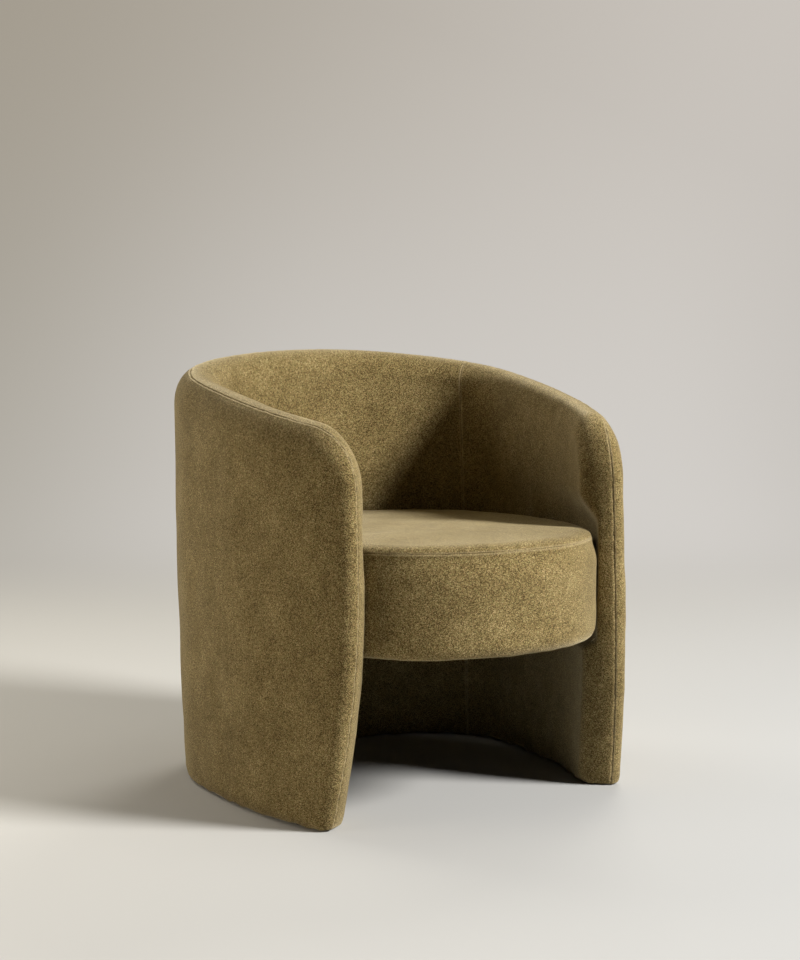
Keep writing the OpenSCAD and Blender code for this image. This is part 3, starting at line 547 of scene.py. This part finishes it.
rim_seam = resample(np.concatenate([outer_p[:, 0], outer_p[-1, 1:-1], outer_p[::-1, -1]]))
left_seam = resample(left_p[:, -1])
right_seam = resample(right_p[:, 0])
outer_cover = cloth("outer_cover_cloth", outer_p, [rim_seam], WALL_GROOVE, WALL_LIP, seed=3)


def inner_cover(name, p, seams):
    """A cover of the wall's inside, with its folds at the foot and its holes for the spacers."""
    p, keep = with_holes(rippled(p, slice(-len(FLAP_Z), None)))
    return cloth(name, p, [rim_seam, *seams], WALL_GROOVE, INSIDE_LIP, seed=11, keep=keep)


inner_back = inner_cover("inner_back_cloth", back_p, [left_seam, right_seam])
inner_left = inner_cover("inner_arm_cloth_left", left_p, [left_seam])
inner_right = inner_cover("inner_arm_cloth_right", right_p, [right_seam])

foam_back = foam_layer("inner_back_padding", s_back[1::2], th_back[1::2], side_back[1::2],
                       rim_back[1::2])
behind = s_half > FRONT_ROLL_IN + FOAM_FRONT
s_foam, th_foam, crest_foam = s_half[behind], th_half[behind], crest_half[behind]
foam_left = foam_layer("inner_arm_padding_left", s_foam[::2], th_foam[::2],
                       left_side[behind][::2], crest_foam[::2])
foam_right = foam_layer("inner_arm_padding_right", s_foam[::-2], th_foam[::-2],
                        right_side[behind][::2], crest_foam[::-2])


# ---------------------------------------------------------------- the seat
def seat_outline(a, inset):
    """The seat's oval at angles a, moved in along its normal."""
    x, y, nx, ny = oval(a, SEAT_HALF_W, SEAT_HALF_D, SEAT_POWER)
    return np.stack([x - inset * nx, y - inset * ny], -1)


def seat_place(p):
    """Turns local seat points back by the tilt and puts them in the chair."""
    c, s = np.cos(SEAT_TILT), np.sin(SEAT_TILT)
    x, y, z = p[..., 0], p[..., 1], p[..., 2]
    return np.stack([x, y * c + z * s + SEAT_Y, z * c - y * s + SEAT_BOTTOM], -1)


def drum(rows):
    """Rings round the seat: each row is a place in from its oval and a height."""
    a = np.linspace(0, 2 * np.pi, RING_N, endpoint=False)
    return np.stack([np.concatenate([seat_outline(a, i), np.full((len(a), 1), z)], 1)
                     for i, z in rows])


def side_in(z):
    """How far the seat's side lies in at a height: a quarter ellipse at the lower edge, a slight
    belly, then drawn in to the seam."""
    low = EDGE_IN * (1 - np.sqrt(1 - np.clip(1 - z / EDGE_H, 0, 1) ** 2))
    belly = BELLY * np.sin(np.pi * np.clip((z - EDGE_H) / (SEAM_Z - EDGE_H), 0, 1))
    return low - belly + SEAT_DRAW * smooth(SEAM_Z - SEAT_DRAW_H, SEAM_Z, z)


def side_rows(z, deeper=0.0):
    """Rows of the seat's side at heights z, some way in behind its surface."""
    return list(zip(side_in(z) + deeper, z))


def band_rows():
    """Side of the seat from underneath to the seam."""
    low = EDGE_H * (1 - np.cos(quarter(EDGE_N)))
    upright = np.linspace(EDGE_H, SEAM_Z - BESIDE[-1], SIDE_N)[1:-1]
    return UNDER_ROWS + side_rows(np.concatenate([low, upright, (SEAM_Z - BESIDE)[::-1]]))


def top_rows(depth=0.0):
    """Edge of the seat's top from the seam in, some depth under the surface: a quarter ellipse of
    the roll's height."""
    return [(SEAT_DRAW + depth + (SEAT_ROLL_IN - depth) * (1 - np.cos(t)),
             SEAM_Z + (SEAT_ROLL - depth) * np.sin(t)) for t in quarter(TOP_N)]


def crown(ring, n):
    """The seat's middle: the last ring of the roll shrunk towards the centre, rising as a sine."""
    f = np.linspace(0, 1, n)[1:, None, None]
    up = np.concatenate([np.zeros((n - 1, 1, 2)), SEAT_CROWN * np.sin(f * np.pi / 2)], -1)
    return ring[None] * np.concatenate([1 - f, 1 - f, 1 + 0 * f], -1) + up


def soft_topper():
    """The seat's soft foam: the top's own surface a little under the cloth, and flat below."""
    bottom = CORE_TOP + 0.3
    side = side_rows(np.linspace(bottom, SEAM_Z, 6)[:-1], SOFT_IN)
    rings = drum(side + top_rows(SOFT_IN))
    front = np.concatenate([rings, crown(rings[-1], 20)])
    shrink = np.linspace(0.99, 0, len(front))[:, None, None]
    flat = (rings[:1] - [0, 0, bottom]) * shrink + [0, 0, bottom]
    return layer("seat_soft_topper", seat_place(front), seat_place(flat), True)


def soft_wrap():
    """Wadding round the seat's side: from just under the cloth in to the hoop and the core."""
    z = np.linspace(5.5, CORE_TOP - 0.5, 32)
    front, keep = with_holes(seat_place(drum(side_rows(z, SOFT_IN))))
    back, _ = with_holes(seat_place(drum(list(zip(0 * z + CORE_IN - 0.05, z)))))
    return layer("seat_side_wadding", front, back, True, keep)


band_local = drum(band_rows())
wave = soft_field(band_local, 41, 80) * 0.7 + soft_field(band_local, 42, 30) * 0.35
side = band_local[len(UNDER_ROWS):]
side[..., 2] -= (HANG + HANG * np.tanh(wave[len(UNDER_ROWS):])) * bell(side[..., 2], HANG_H)
band_loose = smooth(0, SEAT_LOOSE_Z, band_local[..., 2])
band_p = seat_place(band_local)
top_local = drum(top_rows())
top_p = seat_place(np.concatenate([top_local, crown(top_local[-1], CROWN_N)]))
seat_seam = resample(np.concatenate([band_p[-1], band_p[-1, :1]]))
band_p, band_keep = with_holes(band_p)

seat_topper, seat_wrap = soft_topper(), soft_wrap()
seat_band = cloth("seat_side_cloth", band_p, [seat_seam], SEAT_GROOVE, SEAT_LIP, seed=21,
                  wrap=True, keep=band_keep, loose=band_loose)
seat_top = cloth("seat_top_cloth", top_p, [seat_seam], SEAT_GROOVE, 0.0, seed=31, wrap=True)


# ---------------------------------------------------------------- linings underneath
def under_wall():
    """Lining under the wall: rows across it from one face to the other, columns along it from
    one front edge to the other."""
    s, th, _, _ = half_columns(0.0, LINING_STEP)
    s, th = s[s > LINING_FRONT], th[s > LINING_FRONT]
    th = at_height(s, th, np.full(len(th), LINING_Z))
    th = np.concatenate([-th, th[-2::-1]])[None]
    z = np.full(th.shape, LINING_Z)
    outside, inside = outer_face(th, z), inner_face(th, z)
    outside = outside - LINING_IN * level_normals(outside)
    inside = inside + LINING_IN * level_normals(inside)
    return mix(outside, inside, np.linspace(0, 1, 12)[:, None, None])


def under_seat():
    """Lining under the seat: a square grid drawn out to the seat's oval, ring by ring."""
    u, v = np.meshgrid(np.linspace(1, -1, 41), np.linspace(-1, 1, 41))
    ring = np.maximum(np.maximum(np.abs(u), np.abs(v)), 1e-6)
    angle = np.arctan2(u / ring * SEAT_HALF_W, v / ring * SEAT_HALF_D)
    flat = seat_outline(angle, LINING_SEAT_IN) * ring[..., None]
    return seat_place(np.concatenate([flat, np.full((*u.shape, 1), -LINING_T / 2)], -1))


def lining(name, p):
    """A thin cloth that lies level: half its thickness above its middle and half below, and a
    little uneven."""
    half = np.array([0, 0, LINING_T / 2])
    p = p + half * 0.1 * soft_field(p, 71, 120)[..., None]
    return layer(name, p - half, p + half)


def size_of(p):
    """A level cloth's longest run down and along its grid in metres, and its area in square
    metres."""
    a, b = p[1:, 1:] - p[:-1, :-1], p[1:, :-1] - p[:-1, 1:]
    area = np.abs(a[..., 0] * b[..., 1] - a[..., 1] * b[..., 0]).sum() / 2
    runs = [np.linalg.norm(np.diff(p, axis=k), axis=-1).sum(k).max() * MM for k in (0, 1)]
    return runs, area * MM * MM


wall_lining_p, seat_lining_p = under_wall(), under_seat()
wall_lining = lining("wall_lining_cloth", wall_lining_p)
seat_lining = lining("seat_lining_cloth", seat_lining_p)


# ---------------------------------------------------------------- shader helpers
class Wire:
    """A socket that adds Math nodes when it is used in an expression."""

    def __init__(self, paint, socket):
        self.paint, self.socket = paint, socket

    def _do(self, operation, a, b):
        return self.paint.maths(operation, a, b)

    def __add__(self, o): return self._do("ADD", self, o)
    def __radd__(self, o): return self._do("ADD", o, self)
    def __sub__(self, o): return self._do("SUBTRACT", self, o)
    def __mul__(self, o): return self._do("MULTIPLY", self, o)
    def __rmul__(self, o): return self._do("MULTIPLY", o, self)
    def __truediv__(self, o): return self._do("DIVIDE", self, o)


class Paint:
    """A material made of nodes."""

    def __init__(self, name):
        self.material = bpy.data.materials.new(name)
        self.material.use_nodes = True
        self.tree = self.material.node_tree
        self.tree.nodes.clear()
        self.out = self.tree.nodes.new("ShaderNodeOutputMaterial")

    def node(self, kind, settings=None, inputs=None, output=0):
        n = self.tree.nodes.new(kind)
        for key, value in (settings or {}).items():
            if key == "stops":
                ramp = n.color_ramp
                while len(ramp.elements) < len(value):
                    ramp.elements.new(0.5)
                for element, (at, colour) in zip(ramp.elements, value):
                    element.position, element.color = at, (*colour, 1.0)
            else:
                setattr(n, key, value)
        for key, value in (inputs or {}).items():
            if isinstance(value, Wire):
                self.tree.links.new(value.socket, n.inputs[key])
            else:
                n.inputs[key].default_value = value
        return Wire(self, n.outputs[output])

    def where(self):
        return self.node("ShaderNodeTexCoord", output="Object")

    def maths(self, operation, *values):
        return self.node("ShaderNodeMath", {"operation": operation}, dict(enumerate(values)))

    def times(self, vector, factors):
        return self.node("ShaderNodeVectorMath", {"operation": "MULTIPLY"}, {0: vector, 1: factors})

    def part(self, vector, axis):
        return self.node("ShaderNodeSeparateXYZ", None, {0: vector}, axis)

    def cells(self, inputs, output=0):
        """Voronoi cells: output 0 is the distance from a cell's middle, 1 the cell's colour."""
        return self.node("ShaderNodeTexVoronoi", {"feature": "F1"}, inputs, output)

    def noise(self, at, size, detail=2.0, rough=0.5, output=0):
        """Noise whose features are about size metres across."""
        inputs = {"Vector": at, "Scale": 1 / size, "Detail": detail, "Roughness": rough}
        return self.node("ShaderNodeTexNoise", None, inputs, output)

    def colours(self, factor, a, b):
        a, b = (c if isinstance(c, Wire) else (*c, 1) for c in (a, b))
        return self.node("ShaderNodeMix", {"data_type": "RGBA"}, {0: factor, 6: a, 7: b}, 2)

    def clamp(self, value, lo=0.0, hi=1.0, to_lo=0.0, to_hi=1.0):
        return self.node("ShaderNodeMapRange", {"interpolation_type": "SMOOTHSTEP"},
                         {0: value, 1: lo, 2: hi, 3: to_lo, 4: to_hi})

    def bump(self, height, strength, depth):
        inputs = {"Height": height, "Strength": strength, "Distance": depth}
        return self.node("ShaderNodeBump", None, inputs)

    def finish(self, inputs):
        shader = self.node("ShaderNodeBsdfPrincipled", None, inputs)
        self.tree.links.new(shader.socket, self.out.inputs[0])
        return self.material


# ---------------------------------------------------------------- finishes
OLIVE = [(0.05, (0.050, 0.031, 0.007)), (0.40, (0.165, 0.115, 0.041)),
         (0.75, (0.300, 0.221, 0.090)), (1.0, (0.520, 0.412, 0.205))]
GREENER, BROWNER, SEAM_THREAD = (0.91, 1.03, 0.97), (1.07, 0.97, 1.04), (0.42, 0.335, 0.19)
NO_LIGHT = (0.0, 0.0, 0.0)


def chenille():
    """Olive chenille: small looped tufts in cells about 1.1 mm wide, each a shade lighter or
    darker and greener or browner, darker in the gaps between them as painted shade in those
    crevices, fine fibre over them, faint broad patches where the nap lies another way, and a paler
    line where the cloth turns into a seam."""
    m = Paint("olive_chenille")
    at = m.where()
    drift = m.noise(at, 0.004, 1.0, output=1)
    moved = m.node("ShaderNodeVectorMath", {"operation": "MULTIPLY_ADD"},
                   {0: drift, 1: (0.0014, 0.0014, 0.0014), 2: at})
    tufts = {"Vector": moved, "Scale": 880.0, "Randomness": 1.0}
    gap, cell = m.cells(tufts), m.cells(tufts, 1)
    shade = m.node("ShaderNodeSeparateColor", None, {0: cell}, 0)
    fibre = m.noise(at, 0.0009, 2.0)
    blotch = m.noise(at, 0.022, 3.0)
    nap = m.noise(at, 0.085, 3.0, 0.55)
    # tuft: 1 in a tuft's middle, 0 in its gaps; in the colour the gaps' darkness is painted shade
    tuft = m.clamp(gap, 0.15, 0.62, 1.0, 0.0)
    tone = (0.84 * shade + 0.28 * tuft + 0.24 * (fibre - 0.5) + 0.24 * (blotch - 0.5)
            + 0.44 * (nap - 0.5) - 0.06)
    colour = m.node("ShaderNodeValToRGB", {"stops": OLIVE}, {0: tone})
    green, brown = m.times(colour, GREENER), m.times(colour, BROWNER)
    colour = m.colours(m.node("ShaderNodeSeparateColor", None, {0: cell}, 1), green, brown)
    seam = m.node("ShaderNodeAttribute", {"attribute_name": "seam_line"}, None, 2)
    colour = m.colours(0.38 * seam, colour, SEAM_THREAD)
    return m.finish({"Base Color": colour, "Roughness": 0.93,
                     "Normal": m.bump(tuft + 0.35 * fibre, 0.30, 0.0010),
                     "Sheen Weight": 0.55, "Sheen Roughness": 0.42,
                     "Sheen Tint": (0.88, 0.76, 0.50, 1.0), "Specular IOR Level": 0.12})


def foam():
    """Open-cell foam: pale yellow with tiny round pores."""
    m = Paint("cream_foam")
    tone = m.clamp(m.cells({"Vector": m.where(), "Scale": 650.0}), 0.1, 0.5)
    return m.finish({"Base Color": m.colours(tone, (0.52, 0.44, 0.24), (0.74, 0.66, 0.42)),
                     "Roughness": 0.95, "Normal": m.bump(tone, 0.5, 0.0006)})


def wadding():
    """Fibre wadding: white, cloudy, soft."""
    m = Paint("white_wadding")
    cloud = m.noise(m.where(), 0.012, 5.0, 0.65)
    return m.finish({"Base Color": m.colours(cloud, (0.62, 0.60, 0.56), (0.86, 0.85, 0.82)),
                     "Roughness": 1.0, "Normal": m.bump(cloud, 0.5, 0.003)})


def timber(name, dark, light, size):
    """Wood: long grain from stretched noise, with fine pores."""
    m = Paint(name)
    along = m.times(m.where(), (1.0, 1.0, 0.08))
    grain = m.noise(along, size, 4.0, 0.6)
    pores = m.noise(along, size / 9, 2.0)
    return m.finish({"Base Color": m.colours(0.75 * grain + 0.25 * pores, dark, light),
                     "Roughness": 0.55 + 0.2 * pores,
                     "Normal": m.bump(grain + 0.4 * pores, 0.25, 0.0006)})


def plies():
    """Bent plywood: thin layers one over another, with grain across them."""
    m = Paint("birch_plywood")
    ply_t = 0.0015
    at = m.where()
    grain = m.noise(m.times(at, (1.0, 1.0, 0.1)), 0.006, 4.0, 0.6)
    ply = m.maths("PINGPONG", m.part(at, 2) + 0.0004 * grain, ply_t) / ply_t
    tone = 0.6 * ply + 0.4 * grain
    return m.finish({"Base Color": m.colours(tone, (0.40, 0.26, 0.13), (0.68, 0.52, 0.32)),
                     "Roughness": 0.6 + 0.15 * grain, "Normal": m.bump(grain, 0.2, 0.0005)})


def weave(name, dark, light, size, rough):
    """Plain weave: two sets of threads from sine waves in X and Y, over and under."""
    m = Paint(name)
    at = m.where()
    x, y, z = (m.part(at, axis) for axis in range(3))
    turn = 2 * np.pi / size
    over = 0.5 + 0.5 * (m.maths("SINE", (x + z) * turn) * m.maths("SINE", (y - z) * turn))
    fibre = m.noise(at, size / 3, 2.0)
    return m.finish({"Base Color": m.colours(0.7 * over + 0.3 * fibre, dark, light),
                     "Roughness": rough, "Normal": m.bump(over + 0.3 * fibre, 0.4, 0.0003)})


def metal():
    """Zinc-plated steel: pale, slightly clouded, with fine rubbing marks."""
    m = Paint("zinc_steel")
    at = m.where()
    cloud = m.noise(at, 0.004, 3.0)
    marks = m.noise(m.times(at, (1.0, 1.0, 0.1)), 0.0006, 2.0)
    return m.finish({"Base Color": m.colours(cloud, (0.42, 0.42, 0.43), (0.66, 0.66, 0.66)),
                     "Metallic": 1.0, "Roughness": 0.28 + 0.2 * marks,
                     "Normal": m.bump(marks, 0.15, 0.0001)})


def plastic():
    """Moulded black plastic with a fine spark texture."""
    m = Paint("black_plastic")
    grain = m.noise(m.where(), 0.0007, 2.0)
    return m.finish({"Base Color": m.colours(grain, (0.012, 0.012, 0.012), (0.03, 0.03, 0.03)),
                     "Roughness": 0.45 + 0.2 * grain, "Normal": m.bump(grain, 0.2, 0.0002)})


FINISH = {
    "upholstery": chenille(),
    "foam": foam(),
    "wadding": wadding(),
    "plywood": plies(),
    "hardwood": timber("beech", (0.36, 0.20, 0.10), (0.60, 0.40, 0.22), 0.008),
    "dust_cloth": weave("black_dust_cloth", (0.008, 0.008, 0.009), (0.035, 0.035, 0.038),
                        0.0016, 0.95),
    "webbing": weave("black_webbing", (0.010, 0.010, 0.012), (0.09, 0.09, 0.10), 0.0028, 0.8),
    "zinc_steel": metal(),
    "glide_plastic": plastic(),
}


# ---------------------------------------------------------------- dressing the pieces
def dress(piece, slot, node):
    piece.data.materials.append(FINISH[slot])
    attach(piece, "root")
    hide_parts(node)


PADDED = (
    (outer_cover, "upholstery", "outer_cover"),
    (inner_back, "upholstery", "inner_back_cover"),
    (inner_left, "upholstery", "inner_arm_cover_left"),
    (inner_right, "upholstery", "inner_arm_cover_right"),
    (seat_band, "upholstery", "seat_side_band"),
    (seat_top, "upholstery", "seat_top_cover"),
    (seat_topper, "foam", "seat_foam_topper"),
    (seat_wrap, "wadding", "seat_side_wrap"),
    (foam_back, "foam", "inner_back_foam"),
    (foam_left, "foam", "inner_arm_foam_left"),
    (foam_right, "foam", "inner_arm_foam_right"),
)
for piece, slot, node in PADDED:
    dress(piece, slot, node)

for piece, points, node, under in ((wall_lining, wall_lining_p, "base_dust_cover", "base_ring"),
                                   (seat_lining, seat_lining_p, "seat_dust_cover", "seat_hoop")):
    dress(piece, "dust_cloth", node)
    flat, area = size_of(points)

slots = {part["node"]: part["material_slot"] for part in frame["record"]["subparts"]}
for name, node in frame["nodes"].items():
    for holder in node.material_slots:
        holder.material = FINISH[slots[name]]
    if not node.material_slots:
        node.data.materials.append(FINISH[slots[name]])


# ---------------------------------------------------------------- stage and light
def stage_sheet():
    """Floor and wall in one sheet, in metres: flat, then a quarter circle, then upright, turned
    to face the camera."""
    radius, back = 1.6, 2.6
    a = quarter(24)
    run = np.concatenate([[-6.0, -3.0, 0.0], back + radius * np.sin(a), [back + radius]])
    up = np.concatenate([[0, 0, 0], radius * (1 - np.cos(a)), [5.0]])
    side = np.linspace(7, -7, 15)
    turn = np.radians(CAMERA_TURN)
    x = side[None] * np.cos(turn) - run[:, None] * np.sin(turn)
    y = side[None] * np.sin(turn) + run[:, None] * np.cos(turn)
    return np.stack([x, y, np.repeat(up[:, None], len(side), 1)], -1)


def stage_paint():
    """Pale floor and wall. Near the chair it is paint that the lamps light. Its paint is lighter at
    the left and darker at the right, painted light and shade that even out the lamps, which light
    the right more, and it is darker further back. Towards the wall the paint fades out and a glow
    that only the camera and mirrors see takes its place, so the wall's painted shade, darker at the
    left and at the top, stays as it is and lights nothing."""
    m = Paint("pale_floor")
    turned = m.node("ShaderNodeMapping", {"vector_type": "POINT"},
                    {"Vector": m.where(), "Rotation": (0.0, 0.0, np.radians(-CAMERA_TURN))})
    across, deep, height = (m.part(turned, axis) for axis in range(3))
    right = m.clamp(across, -1.9, 1.9)
    up = m.clamp(height, -0.3, 2.2)
    far = m.clamp(deep, 1.4, 3.2)

    # floor paint: lighter at the left, darker at the right, painted light and shade against the
    # lamps
    near_floor = m.colours(right, (0.715, 0.695, 0.646), (0.352, 0.359, 0.369))
    far_floor = m.colours(right, (0.442, 0.430, 0.400), (0.425, 0.419, 0.410))
    floor = m.colours(m.clamp(deep, -0.8, 2.4), near_floor, far_floor)
    paint = m.colours(far, floor, (0.078, 0.076, 0.073))

    # the wall's glow: darker at the left and at the top, painted shade of the wall's light
    low = m.colours(m.clamp(across, -2.0, -0.2), (0.352, 0.330, 0.285), (0.540, 0.520, 0.495))
    low = m.colours(m.clamp(across, 0.9, 1.9), low, (0.465, 0.445, 0.420))
    high = m.colours(right, (0.320, 0.286, 0.232), (0.525, 0.490, 0.452))
    glow = m.colours(far, NO_LIGHT, m.colours(up, low, high))
    camera_ray, glossy_ray, clear_ray = (
        m.node("ShaderNodeLightPath", output=f"Is {kind} Ray")
        for kind in ("Camera", "Glossy", "Transmission"))
    seen = m.maths("MAXIMUM", m.maths("MAXIMUM", camera_ray, glossy_ray), clear_ray)
    return m.finish({"Base Color": paint, "Roughness": 0.9, "Specular IOR Level": 0.1,
                     "Emission Color": m.colours(seen, NO_LIGHT, glow), "Emission Strength": 1.0})


stage_p = stage_sheet()
stage_quads = quads_of(np.arange(stage_p[..., 0].size).reshape(stage_p.shape[:2]))
backdrop = made("studio_floor", stage_p.reshape(-1, 3) / MM, stage_quads.tolist(),
                np.ones(len(stage_quads), bool))
backdrop.data.materials.append(stage_paint())


MIDDLE = (0, 0, 0.4)        # the chair's middle, which the main lamp points at


def around(azimuth, elevation, distance):
    """A place at a distance from the chair's middle, in a direction given in degrees."""
    a, e = np.radians(azimuth), np.radians(elevation)
    level = distance * np.cos(e)
    return level * np.cos(a), level * np.sin(a), MIDDLE[2] + distance * np.sin(e)


def lamp(name, at, aim, size, power, colour):
    """A round lamp of a size and a power in watts, pointed at a place."""
    data = bpy.data.lights.new(name, "AREA")
    data.shape, data.size, data.energy, data.color = "DISK", size, power, colour
    light = bpy.data.objects.new(name, data)
    light.location = at
    direction = np.array(aim, float) - np.array(at, float)
    yaw = np.arctan2(-direction[0], direction[1])
    pitch = np.arctan2(np.hypot(direction[0], direction[1]), -direction[2])
    light.rotation_euler = Euler((pitch, 0.0, yaw))
    bpy.context.scene.collection.objects.link(light)


def studio_world():
    """A world that the camera sees as pale, and that gives next to no light."""
    world = bpy.data.worlds.new("studio")
    world.use_nodes = True
    nodes, links = world.node_tree.nodes, world.node_tree.links
    dim, pale = nodes["Background"], nodes.new("ShaderNodeBackground")
    both, rays = nodes.new("ShaderNodeMixShader"), nodes.new("ShaderNodeLightPath")
    for shader, colour, strength in ((dim, (1.0, 0.98, 0.95, 1.0), 0.01),
                                     (pale, (0.60, 0.57, 0.53, 1.0), 1.0)):
        shader.inputs[0].default_value, shader.inputs[1].default_value = colour, strength
    links.new(rays.outputs["Is Camera Ray"], both.inputs[0])
    links.new(dim.outputs[0], both.inputs[1])
    links.new(pale.outputs[0], both.inputs[2])
    links.new(both.outputs[0], nodes["World Output"].inputs[0])
    return world


lamp("key", around(-50, 32, 4.5), MIDDLE, 1.2, 350, (1.0, 0.99, 0.97))
lamp("right_fill", around(40, 38, 4.0), (0, 0.1, 0.3), 1.8, 62, (1.0, 0.97, 0.90))
lamp("top_fill", (0.5, 0.1, 3.6), MIDDLE, 1.4, 11, (1.0, 0.97, 0.88))
lamp("rear_fill", around(110, 35, 3.4), (0, 0.1, 0.3), 1.8, 42, (1.0, 0.95, 0.85))
lamp("left_bounce", around(172, 8, 2.9), (0, 0.1, 0.35), 1.6, 27, (1.0, 0.90, 0.76))
bpy.context.scene.world = studio_world()
bpy.context.scene.view_settings.view_transform = "Standard"
